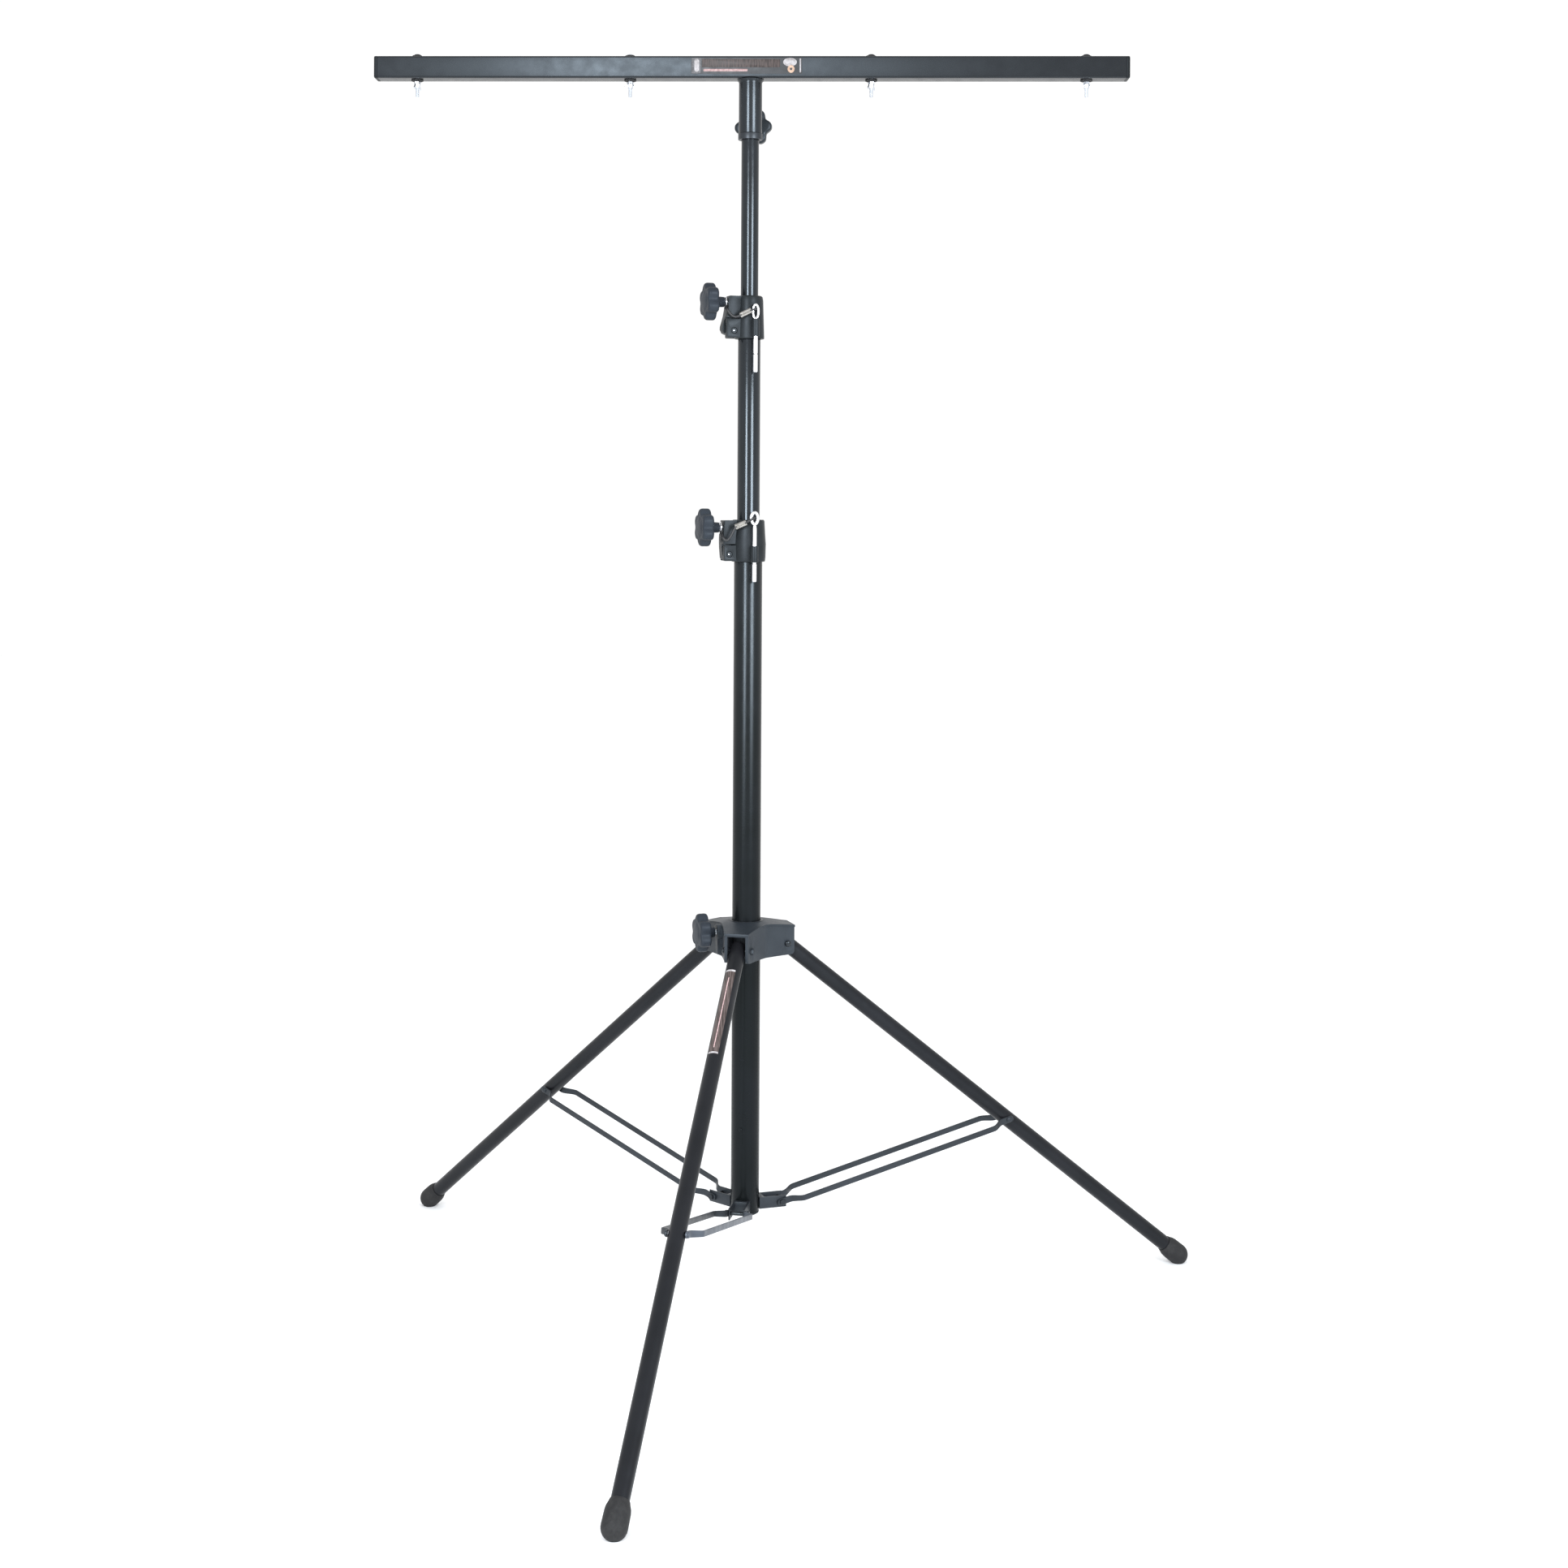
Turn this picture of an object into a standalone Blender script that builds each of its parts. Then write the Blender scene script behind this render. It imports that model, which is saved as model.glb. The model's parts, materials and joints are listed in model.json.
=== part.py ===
"""Lighting stand with T-bar: tripod base with braced legs, two telescopic
extensions, clamp collars with star knobs, and a swivelling four-lamp T-bar.
Metres, +Z up.  Everything is laid out about the mast axis and moved at the
end so that the centre of the bounding box stands on the origin."""
import math
import bpy
import bmesh
from mathutils import Matrix, Vector

for ob in list(bpy.data.objects):
    bpy.data.objects.remove(ob, do_unlink=True)

# ---------------------------------------------------------------- dimensions
SEG = 24                      # facets round a tube
GAP = 0.0003                  # assembly gap between touching pieces
# tubes (outside radius, inside radius, bottom, top)
MAIN_R, MAIN_RI, MAIN_Z0, MAIN_Z1 = 0.0225, 0.0205, 0.1640, 1.2380
MID_R, MID_RI, MID_Z0, MID_Z1 = 0.0180, 0.01625, 0.4700, 1.5985
TOP_R, TOP_RI, TOP_Z0, TOP_Z1 = 0.0140, 0.0125, 0.7300, 1.9500
# T-bar
BAR_H, BAR_WALL, BAR_CORNER = 0.0350, 0.0015, 0.0030
BAR_ZC, BAR_HALF, CAP_T = 1.9780, 0.5940, 0.0060
BAR_BOLTS = (-0.533, -0.192, 0.192, 0.533)
WING_YAW = (70.0, 22.0, 58.0, 12.0)
# tripod
LEG_AZ = {"front": -100.51, "right": 19.49, "left": 139.49}
LEG_R, LEG_RI = 0.0125, 0.0110
PIV_R, PIV_Z = 0.0626, 0.5863         # leg pivots in the hub
FOOT_R, FOOT_Z = 0.7731, 0.0140       # leg axis at the foot
RIVET_A = 0.5000                      # brace rivet, measured down the leg
CLEV_R, CLEV_Z = 0.0580, 0.1750       # brace pivots on the mast
HUB_Z0, HUB_Z1, HUB_EDGE = 0.5685, 0.6245, 0.6152
HUB_TIP, HUB_HW = 0.0755, 0.0195
SLOT_HW, PLATE_T = 0.0145, 0.0052
KNOB_AZ, SOCKET_KNOB_AZ = 199.49, 85.0
KNOB_R = 0.0300
UP_PIN_AZ, LO_PIN_AZ, PIN_R = -68.5, -71.8, 0.0035
UP_PIN_RAD, UP_PIN_Z0, UP_PIN_EYE = 0.0290, 1.4930, 1.5890
LO_PIN_RAD, LO_PIN_Z0, LO_PIN_EYE = 0.0340, 1.1620, 1.2623
UP_KNOB_Z, LO_KNOB_Z, HUB_KNOB_Z, SOCKET_KNOB_Z = 1.6050, 1.2474, 0.6070, 1.8920
UP_BOLT, LO_BOLT = (0.0289, 1.5595), (0.0353, 1.2048)

MATS = {
    "black_steel": ((0.012, 0.013, 0.015), 0.35, 0.0),
    "slate_plastic": ((0.045, 0.052, 0.062), 0.55, 0.0),
    "dark_plastic": ((0.020, 0.022, 0.025), 0.50, 0.0),
    "rubber": ((0.018, 0.018, 0.018), 0.80, 0.0),
    "zinc": ((0.72, 0.73, 0.75), 0.28, 1.0),
    "bright_steel": ((0.80, 0.81, 0.83), 0.18, 1.0),
    "grey_coat": ((0.075, 0.085, 0.100), 0.45, 0.0),
    "cord": ((0.010, 0.010, 0.011), 0.70, 0.0),
    "nylon": ((0.030, 0.031, 0.033), 0.60, 0.0),
}


def material(node, key):
    rgb, rough, metal = MATS[key]
    mat = bpy.data.materials.new(node + "_" + key)
    mat.use_nodes = True
    bsdf = mat.node_tree.nodes["Principled BSDF"]
    bsdf.inputs["Base Color"].default_value = (rgb[0], rgb[1], rgb[2], 1.0)
    bsdf.inputs["Roughness"].default_value = rough
    bsdf.inputs["Metallic"].default_value = metal
    return mat


def clean(bm, dist=2e-6):
    bmesh.ops.remove_doubles(bm, verts=bm.verts, dist=dist)
    bmesh.ops.dissolve_degenerate(bm, dist=1e-6, edges=bm.edges)
    rim = [e for e in bm.edges if len(e.link_faces) == 1]
    if rim:
        bmesh.ops.holes_fill(bm, edges=rim, sides=4)
    bmesh.ops.recalc_face_normals(bm, faces=bm.faces)
    return bm


def obj(bm, name):
    mesh = bpy.data.meshes.new(name)
    bmesh.ops.recalc_face_normals(bm, faces=bm.faces)
    bm.to_mesh(mesh)
    bm.free()
    ob = bpy.data.objects.new(name, mesh)
    bpy.context.scene.collection.objects.link(ob)
    return ob


def boolean(ob, bm, op):
    """Apply one exact Boolean and throw the tool body away."""
    tool = obj(bm, ob.name + "_tool")
    tool.hide_render = True
    tool.display_type = "WIRE"
    mod = ob.modifiers.new("cut", "BOOLEAN")
    mod.operation = op
    mod.solver = "EXACT"
    mod.object = tool
    bpy.context.view_layer.update()
    graph = bpy.context.evaluated_depsgraph_get()
    mesh = bpy.data.meshes.new_from_object(ob.evaluated_get(graph))
    ob.modifiers.clear()
    old = ob.data
    ob.data = mesh
    mesh.name = ob.name
    bpy.data.meshes.remove(old)
    data = tool.data
    bpy.data.objects.remove(tool, do_unlink=True)
    bpy.data.meshes.remove(data)
    return ob


def done(ob, key):
    bm = bmesh.new()
    bm.from_mesh(ob.data)
    clean(bm)
    bm.to_mesh(ob.data)
    bm.free()
    ob.data.materials.clear()
    ob.data.materials.append(material(ob.name, key))
    return ob


# ---------------------------------------------------------------- solids
def loft(rings, closed=False):
    """Skin a list of equal rings; end caps unless the loft closes on itself."""
    bm = bmesh.new()
    rows = []
    for ring in rings:
        if len(ring) == 1:
            rows.append([bm.verts.new(ring[0])])
        else:
            rows.append([bm.verts.new(p) for p in ring])
    count = max(len(r) for r in rows)
    pairs = list(zip(rows[:-1], rows[1:]))
    if closed:
        pairs.append((rows[-1], rows[0]))
    for a, b in pairs:
        for i in range(count):
            j = (i + 1) % count
            if len(a) == 1:
                bm.faces.new((a[0], b[j], b[i]))
            elif len(b) == 1:
                bm.faces.new((a[i], a[j], b[0]))
            else:
                bm.faces.new((a[i], a[j], b[j], b[i]))
    if not closed:
        if len(rows[0]) > 1:
            bm.faces.new(list(reversed(rows[0])))
        if len(rows[-1]) > 1:
            bm.faces.new(rows[-1])
    bmesh.ops.recalc_face_normals(bm, faces=bm.faces)
    return bm


def circle(r, z, seg, phase=0.0):
    return [Vector((r * math.cos(phase + 2 * math.pi * i / seg),
                    r * math.sin(phase + 2 * math.pi * i / seg), z))
            for i in range(seg)]


def lathe(profile, seg=SEG, closed=False, phase=0.0):
    rings = []
    for r, z in profile:
        rings.append([Vector((0, 0, z))] if r < 1e-9 else circle(r, z, seg, phase))
    return loft(rings, closed)


def prism(points, a, b, put):
    """Extrude a 2-D outline between a and b; put(u, v, w) gives the point."""
    return loft([[put(u, v, a) for u, v in points],
                 [put(u, v, b) for u, v in points]])


def box(x0, x1, y0, y1, z0, z1):
    pts = [(x0, y0), (x1, y0), (x1, y1), (x0, y1)]
    return prism(pts, z0, z1, lambda u, v, w: Vector((u, v, w)))


def moved(bm, mat):
    bmesh.ops.transform(bm, matrix=mat, verts=bm.verts)
    bmesh.ops.recalc_face_normals(bm, faces=bm.faces)
    return bm


def radial(az_deg):
    """Local (s out from the mast, t tangential, z up) to model space."""
    return Matrix.Rotation(math.radians(az_deg), 4, "Z")


def along(origin, direction):
    """Matrix that puts a +Z solid at origin along direction."""
    q = Vector((0, 0, 1)).rotation_difference(Vector(direction).normalized())
    return Matrix.Translation(Vector(origin)) @ q.to_matrix().to_4x4()


def rod(r, a, b, seg=12):
    a, b = Vector(a), Vector(b)
    bm = lathe([(0, 0), (r, 0), (r, (b - a).length), (0, (b - a).length)], seg)
    return moved(bm, along(a, b - a))


def sweep(points, radii, seg=8, up=Vector((0, 0, 1)), closed=False):
    """Round bar of changing radius along a polyline."""
    pts = [Vector(p) for p in points]
    n = len(pts)
    rings = []
    side = None
    for i, p in enumerate(pts):
        if closed:
            tan = (pts[(i + 1) % n] - pts[i - 1]).normalized()
        else:
            tan = (pts[min(i + 1, n - 1)] - pts[max(i - 1, 0)]).normalized()
        if side is None:
            side = tan.cross(up).normalized()
        else:
            side = (side - tan * side.dot(tan)).normalized()
        top = tan.cross(side).normalized()
        r = radii[i] if isinstance(radii, (list, tuple)) else radii
        rings.append([p + side * (r * math.cos(2 * math.pi * k / seg))
                      + top * (r * math.sin(2 * math.pi * k / seg))
                      for k in range(seg)])
    return loft(rings, closed)


# ---------------------------------------------------------------- mast
def make_main_tube():
    ob = obj(lathe([(MAIN_RI, MAIN_Z0), (MAIN_R, MAIN_Z0), (MAIN_R, 0.40),
                    (MAIN_R, MAIN_Z1), (MAIN_RI, MAIN_Z1), (MAIN_RI, 0.40)],
                   closed=True), "main_tube")
    rot = radial(-108.1)
    boolean(ob, moved(rod(0.0017, (0.010, 0, 0.296), (0.030, 0, 0.296), 8), rot),
            "DIFFERENCE")
    done(ob, "black_steel")
    # plug pressed into the foot of the mast
    plug = lathe([(0, 0.1585), (0.0170, 0.1585), (0.0210, 0.1597),
                  (0.0225, 0.1615), (0.0225, MAIN_Z0 - GAP),
                  (MAIN_RI - 0.0001, MAIN_Z0 - GAP), (MAIN_RI - 0.0001, 0.1850),
                  (0.0180, 0.1850), (0.0180, 0.1665), (0, 0.1665)])
    done(obj(plug, "mast_plug"), "dark_plastic")
    # rivet that stops the extension at the bottom of its travel
    riv = lathe([(0, 0), (0.0015, 0), (0.0015, 0.0027), (0.0030, 0.0027),
                 (0.0027, 0.0038), (0.0015, 0.0044), (0, 0.0045)], 8)
    moved(riv, rot @ along((MAIN_R - 0.0024, 0, 0.296), (1, 0, 0)))
    done(obj(riv, "stop_rivet"), "zinc")


def make_bush(name, r_out, r_tube, r_lip, z0):
    bm = lathe([(r_lip, z0 - 0.0040), (r_out, z0 - 0.0040), (r_out, z0 + 0.0350),
                (r_tube + 0.0001, z0 + 0.0350), (r_tube + 0.0001, z0 - GAP),
                (r_lip, z0 - GAP)], closed=True)
    done(obj(bm, name), "nylon")


def make_extensions():
    bm = lathe([(MID_RI, MID_Z0), (MID_R, MID_Z0), (MID_R, MID_Z1),
                (MID_RI, MID_Z1)], closed=True)
    done(obj(bm, "mid_tube"), "black_steel")
    bm = lathe([(TOP_RI, TOP_Z0), (TOP_R, TOP_Z0), (TOP_R, TOP_Z1 - 0.0015),
                (TOP_R - 0.0007, TOP_Z1), (TOP_RI, TOP_Z1)], closed=True)
    done(obj(bm, "top_tube"), "black_steel")
    make_bush("mid_bush", MAIN_RI - 0.0001, MID_R, 0.0150, MID_Z0)
    make_bush("top_bush", MID_RI - 0.0001, TOP_R, 0.0115, TOP_Z0)


# ---------------------------------------------------------------- knobs
def make_knob(name, az, z, tip, ring, disc, turn, thick=0.0190):
    """Star knob with its moulded-in screw.  Stations run along s."""
    count = 30

    def outline(scale):
        pts = []
        for i in range(count):
            a = 2 * math.pi * i / count
            c = 0.5 - 0.5 * math.cos(6 * (a - math.radians(turn)))
            r = (KNOB_R - 0.0058 * c ** 1.4) * scale
            pts.append((r * math.cos(a), r * math.sin(a)))
        return pts

    def disk(r):
        return [(r * math.cos(2 * math.pi * i / count),
                 r * math.sin(2 * math.pi * i / count)) for i in range(count)]

    stations = [(tip, disk(0.0030)), (tip + 0.0010, disk(0.0040)),
                (ring, disk(0.0040)), (ring, disk(0.0080)),
                (disc - 0.0010, disk(0.0090)), (disc, outline(0.62)),
                (disc + 0.0020, outline(0.97)), (disc + 0.0050, outline(1.0)),
                (disc + thick - 0.0050, outline(1.0)),
                (disc + thick - 0.0015, outline(0.95)),
                (disc + thick, outline(0.80)),
                (disc + thick + 0.0012, outline(0.35))]
    rings = [[Vector((s, u, v + z)) for u, v in pts] for s, pts in stations]
    done(obj(moved(loft(rings), radial(az)), name), "slate_plastic")


# ---------------------------------------------------------------- collars
def sector(points, t0, t1):
    return prism(points, t0, t1, lambda u, v, w: Vector((u, w, v)))


def make_collar(prefix, profile, cheek_s, cheek_z, bolt, knob_z, pin_az, pin_rad,
                hold_z, flap_hi, flap_lo, tube_r, back):
    """Sleeve, front and back cheeks, pin holder, hinged flap and its bolt."""
    rot = radial(KNOB_AZ)
    ob = obj(lathe(profile, closed=True), prefix + "_collar")
    inner = max(p[0] for p in profile[-2:])
    for t0, t1, end in ((0.0030, 0.0130, cheek_s), (-0.0160, -0.0123, cheek_s - back)):
        cheek = sector([(0.0100, cheek_z[0]), (end - 0.0010, cheek_z[0]),
                        (end, cheek_z[0] + 0.0010), (end, cheek_z[1] - 0.0010),
                        (end - 0.0010, cheek_z[1]), (0.0100, cheek_z[1])], t0, t1)
        boolean(ob, moved(cheek, rot), "UNION")
    pin = radial(pin_az) @ Matrix.Translation((pin_rad, 0, 0))
    holder = lathe([(0, hold_z[0]), (0.0058, hold_z[0]), (0.0062, hold_z[0] + 0.001),
                    (0.0062, hold_z[1] - 0.001), (0.0058, hold_z[1]),
                    (0, hold_z[1])], 16)
    boolean(ob, moved(holder, pin), "UNION")
    web = box(-0.0090, -0.0042, -0.0041, 0.0041, hold_z[0] + 0.0012,
              hold_z[1] - 0.0012)
    boolean(ob, moved(web, pin), "UNION")
    boolean(ob, moved(lathe([(0, hold_z[0] - 0.01), (0.0037, hold_z[0] - 0.01),
                             (0.0037, 1.7), (0, 1.7)], 16), pin), "DIFFERENCE")
    # clear the bore again where the cheeks and the holder ran into it
    z_lo, z_hi = profile[0][1], max(p[1] for p in profile)
    step = profile[-1][1]
    boolean(ob, lathe([(0, z_lo - 0.01), (inner, z_lo - 0.01), (inner, step),
                       (tube_r, step), (tube_r, z_hi + 0.01), (0, z_hi + 0.01)]),
            "DIFFERENCE")
    screw = Matrix.Translation((0, 0, knob_z))
    hole = moved(rod(0.0043, (0.010, 0, 0), (0.060, 0, 0), 12), rot @ screw)
    boolean(ob, hole, "DIFFERENCE")
    s, z = bolt
    boolean(ob, moved(rod(0.0031, (s, -0.020, z), (s, 0.0090, z), 12), rot),
            "DIFFERENCE")
    boolean(ob, moved(rod(0.0050, (s, 0.0089, z), (s, 0.0140, z), 16), rot),
            "DIFFERENCE")
    done(ob, "dark_plastic")
    # flap
    flap = obj(moved(sector(flap_hi, -0.0120, 0.0127), rot), prefix + "_flap")
    boolean(flap, moved(sector(flap_lo, -0.0120, 0.0027), rot), "UNION")
    outer = [(r + 0.0004, zz) for r, zz in profile if r > inner + 0.0004]
    outer = [(0, z_lo - 0.01), (outer[0][0], z_lo - 0.01)] + outer + \
            [(outer[-1][0], z_hi + 0.01), (0, z_hi + 0.01)]
    boolean(flap, lathe(outer), "DIFFERENCE")
    boolean(flap, moved(rod(0.0043, (0.010, 0, 0), (0.060, 0, 0), 12),
                        rot @ screw), "DIFFERENCE")
    boolean(flap, moved(rod(0.0031, (s, -0.020, z), (s, 0.020, z), 12), rot),
            "DIFFERENCE")
    done(flap, "dark_plastic")
    # socket-head bolt on which the flap hinges, lock nut at the back
    bm = lathe([(0, 0), (0.0045, 0), (0.0045, 0.0035), (0.0028, 0.0035),
                (0.0028, 0.0292), (0.0045, 0.0292), (0.0045, 0.0317),
                (0.0040, 0.0322), (0.0022, 0.0322), (0.0022, 0.0300),
                (0, 0.0300)], 12)
    moved(bm, rot @ along((s, -0.0198, z), (0, 1, 0)))
    done(obj(bm, prefix + "_flap_bolt"), "zinc")


def make_pin(name, az, rad, z0, eye_z, half_w, half_h, wire):
    """Safety pin: grooved shank with an oval eye facing the front."""
    base = radial(az) @ Vector((rad, 0, 0))
    zs = eye_z - half_h - wire - 0.0020
    groove = z0 + 0.0290
    ob = obj(moved(lathe([(0, z0), (0.0025, z0), (PIN_R, z0 + 0.0015),
                          (PIN_R, groove - 0.001), (0.0029, groove - 0.0005),
                          (0.0029, groove + 0.0005), (PIN_R, groove + 0.001),
                          (PIN_R, zs - 0.003), (0.0024, zs + 0.0040),
                          (0, zs + 0.0040)], 10),
                   Matrix.Translation(base)), name)
    pts = []
    for i in range(16):
        a = 2 * math.pi * (i + 0.5) / 16
        pts.append(base + Vector((half_w * math.cos(a), 0, eye_z + half_h * math.sin(a))))
    boolean(ob, sweep(pts, wire, 8, Vector((0, 1, 0)), True), "UNION")
    done(ob, "bright_steel")


def catmull(points, steps):
    pts = [Vector(p) for p in points]
    out = []
    for i in range(len(pts) - 1):
        p0 = pts[max(i - 1, 0)]
        p1, p2 = pts[i], pts[i + 1]
        p3 = pts[min(i + 2, len(pts) - 1)]
        for k in range(steps):
            t = k / steps
            out.append(0.5 * ((2 * p1) + (p2 - p0) * t
                              + (2 * p0 - 5 * p1 + 4 * p2 - p3) * t * t
                              + (3 * p1 - p0 - 3 * p2 + p3) * t ** 3))
    out.append(pts[-1])
    return out


def make_tether(name, ring_s, knob_z, cord, ferrule, tail):
    """Ring round the knob screw, cord, crimped ferrule, loop in the pin eye."""
    rot = radial(KNOB_AZ)
    ring = []
    for i in range(12):
        a = 2 * math.pi * i / 12
        ring.append(rot @ Vector((ring_s, 0.0085 * math.cos(a),
                                  knob_z + 0.0085 * math.sin(a))))
    ob = obj(sweep(ring, 0.0013, 6, Vector((1, 0, 0)), True), name)
    start = rot @ Vector((ring_s, 0.0085 * math.cos(-0.9),
                          knob_z + 0.0085 * math.sin(-0.9)))
    pts = catmull([start] + cord + [ferrule[0]], 3)
    rad = [0.0020] * len(pts)
    fa, fb = Vector(ferrule[0]), Vector(ferrule[1])
    d = (fb - fa).normalized()
    pts += [fa + d * 0.0004, fa + d * 0.0014, fb - d * 0.0014, fb - d * 0.0004]
    rad += [0.0036, 0.0045, 0.0045, 0.0036]
    end = catmull([fb] + tail, 3)
    pts += end
    rad += [0.0022] + [0.0018] * (len(end) - 1)
    boolean(ob, sweep(pts, rad, 6), "UNION")
    done(ob, "cord")


# ---------------------------------------------------------------- T-bar
def rounded_square(half, corner, steps=3):
    pts = []
    for q in range(4):
        cx = (half - corner) * (1 if q in (0, 3) else -1)
        cz = (half - corner) * (1 if q in (0, 1) else -1)
        for k in range(steps + 1):
            a = math.pi / 2 * (q + k / steps)
            pts.append((cx + corner * math.cos(a), cz + corner * math.sin(a)))
    return pts


def make_tbar():
    half = BAR_H / 2
    zt, zb = BAR_ZC + half, BAR_ZC - half
    put = lambda u, v, w: Vector((w, u, BAR_ZC + v))
    outer = rounded_square(half, BAR_CORNER)
    inner = rounded_square(half - BAR_WALL, BAR_CORNER - BAR_WALL)
    # clamp zones stand 0.05 mm proud, so each is a face of its own
    proud = rounded_square(half + 0.00005, BAR_CORNER)
    rings = [[put(u, v, -BAR_HALF) for u, v in outer]]
    for a, b in ((-0.400, -0.260), (-0.150, 0.075), (0.260, 0.400)):
        rings += [[put(u, v, a - 0.0002) for u, v in outer],
                  [put(u, v, a) for u, v in proud], [put(u, v, b) for u, v in proud],
                  [put(u, v, b + 0.0002) for u, v in outer]]
    rings += [[put(u, v, BAR_HALF) for u, v in outer]]
    rings += [[put(u, v, w) for u, v in inner] for w in (BAR_HALF, -BAR_HALF)]
    ob = obj(loft(rings, True), "tbar")
    for x in BAR_BOLTS:
        boolean(ob, rod(0.0033, (x, 0, zb - 0.01), (x, 0, zt + 0.01), 12),
                "DIFFERENCE")
    done(ob, "black_steel")
    for name, sgn in (("tbar_cap_left", -1), ("tbar_cap_right", 1)):
        small = rounded_square(half - BAR_WALL - 0.0002, BAR_CORNER - BAR_WALL)
        edge = rounded_square(half, BAR_CORNER)
        face = rounded_square(half - 0.0012, BAR_CORNER - 0.0006)
        st = [(BAR_HALF - 0.016, small), (BAR_HALF + GAP, small),
              (BAR_HALF + GAP, edge), (BAR_HALF + CAP_T - 0.0010, edge),
              (BAR_HALF + CAP_T, face)]
        rings = [[put(u, v, sgn * w) for u, v in pts] for w, pts in st]
        done(obj(loft(rings), name), "dark_plastic")
    # lamp bolts: head and washer above, washer and lock nut below
    for i, x in enumerate(BAR_BOLTS):
        prof = [(0, zb - 0.0280), (0.0022, zb - 0.0280), (0.0030, zb - 0.0270),
                (0.0030, zb - 0.0062), (0.0055, zb - 0.0062),
                (0.0055, zb - 0.0032), (0.0098, zb - 0.0028),
                (0.0098, zb - GAP), (0.0030, zb - GAP), (0.0030, zt + GAP),
                (0.0090, zt + GAP), (0.0090, zt + 0.0030),
                (0.0062, zt + 0.0034), (0.0042, zt + 0.0052), (0, zt + 0.0058)]
        done(obj(moved(lathe(prof, 12), Matrix.Translation((x, 0, 0))),
                 "lamp_bolt_%d" % (i + 1)), "zinc")
        nut = obj(lathe([(0.0032, -0.0070), (0.0042, -0.0070), (0.0052, 0.0),
                         (0.0032, 0.0)], 12, True), "wing_nut_%d" % (i + 1))
        for sg in (-1, 1):
            wing = [(0.0038, -0.0006), (0.0056, -0.0006), (0.0080, -0.0034),
                    (0.0102, -0.0066), (0.0106, -0.0086), (0.0094, -0.0096),
                    (0.0078, -0.0086), (0.0058, -0.0060), (0.0038, -0.0056)]
            bm = prism(wing, -0.0011, 0.0011,
                       lambda u, v, w: Vector((sg * u, w, v)))
            boolean(nut, bm, "UNION")
        mat = Matrix.Translation((x, 0, zb - 0.0066)) @ radial(WING_YAW[i])
        nut.data.transform(mat)
        done(nut, "zinc")


def make_socket():
    zb = BAR_ZC - BAR_H / 2
    rot = radial(SOCKET_KNOB_AZ)
    ob = obj(lathe([(0.0165, 1.8745), (0.0185, 1.8745), (0.0185, zb - 0.0062),
                    (0.0215, zb - GAP), (0.0165, zb - GAP)], closed=True),
             "tbar_socket")
    boss = lathe([(0, 0.0160), (0.0077, 0.0160), (0.0077, 0.0258),
                  (0.0070, 0.0265), (0, 0.0265)], 16)
    at = rot @ Matrix.Translation((0, 0, SOCKET_KNOB_Z)) @ along((0, 0, 0), (1, 0, 0))
    boolean(ob, moved(boss, at), "UNION")
    boolean(ob, lathe([(0, 1.85), (0.0165, 1.85), (0.0165, zb + 0.001), (0, zb + 0.001)]),
            "DIFFERENCE")
    hole = rod(0.0043, (0.010, 0, 0), (0.040, 0, 0), 12)
    boolean(ob, moved(hole, rot @ Matrix.Translation((0, 0, SOCKET_KNOB_Z))),
            "DIFFERENCE")
    done(ob, "black_steel")
    ins = obj(lathe([(0.0143, 1.8643), (0.0188, 1.8643), (0.0194, 1.8655),
                     (0.0194, 1.8735), (0.0188, 1.8742), (0.0164, 1.8742),
                     (0.0164, 1.9480), (0.0143, 1.9480)], closed=True),
              "socket_insert")
    hole = rod(0.0043, (0.010, 0, 0), (0.018, 0, 0), 12)
    boolean(ins, moved(hole, rot @ Matrix.Translation((0, 0, SOCKET_KNOB_Z))),
            "DIFFERENCE")
    done(ins, "nylon")


# ---------------------------------------------------------------- hub
def hub_outline(grow, steps=8):
    """Three-armed plan whose hollow sides meet in a crease between the arms."""
    pts = []
    azs = sorted(a % 360.0 for a in LEG_AZ.values())
    for i, az in enumerate(azs):
        r = radial(az)
        nxt = radial(azs[(i + 1) % 3])
        mid = radial(az + 60.0)
        inset = 0.0 if grow else 0.0008
        tip, hw = HUB_TIP - inset, HUB_HW - inset
        pts.append(r @ Vector((tip, -hw, 0)))
        a = r @ Vector((tip, hw, 0))
        b = nxt @ Vector((tip, -hw, 0))
        crease = mid @ Vector((0.0420 - inset, 0, 0))
        dip = mid @ Vector((0.0020, 0, 0))
        for p, q in ((a, crease), (crease, b)):
            ctrl = (p + q) / 2 - dip
            for k in range(steps // 2):
                t = k / (steps // 2)
                pts.append(p * (1 - t) ** 2 + ctrl * (2 * t * (1 - t)) + q * t * t)
    return pts


def hub_top(r):
    """Height of the domed top at a distance r from the mast axis."""
    u = min(max((r - 0.0270) / (HUB_TIP - 0.0270), 0.0), 1.0)
    return HUB_Z1 - (HUB_Z1 - HUB_EDGE) * u ** 0.85


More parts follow.
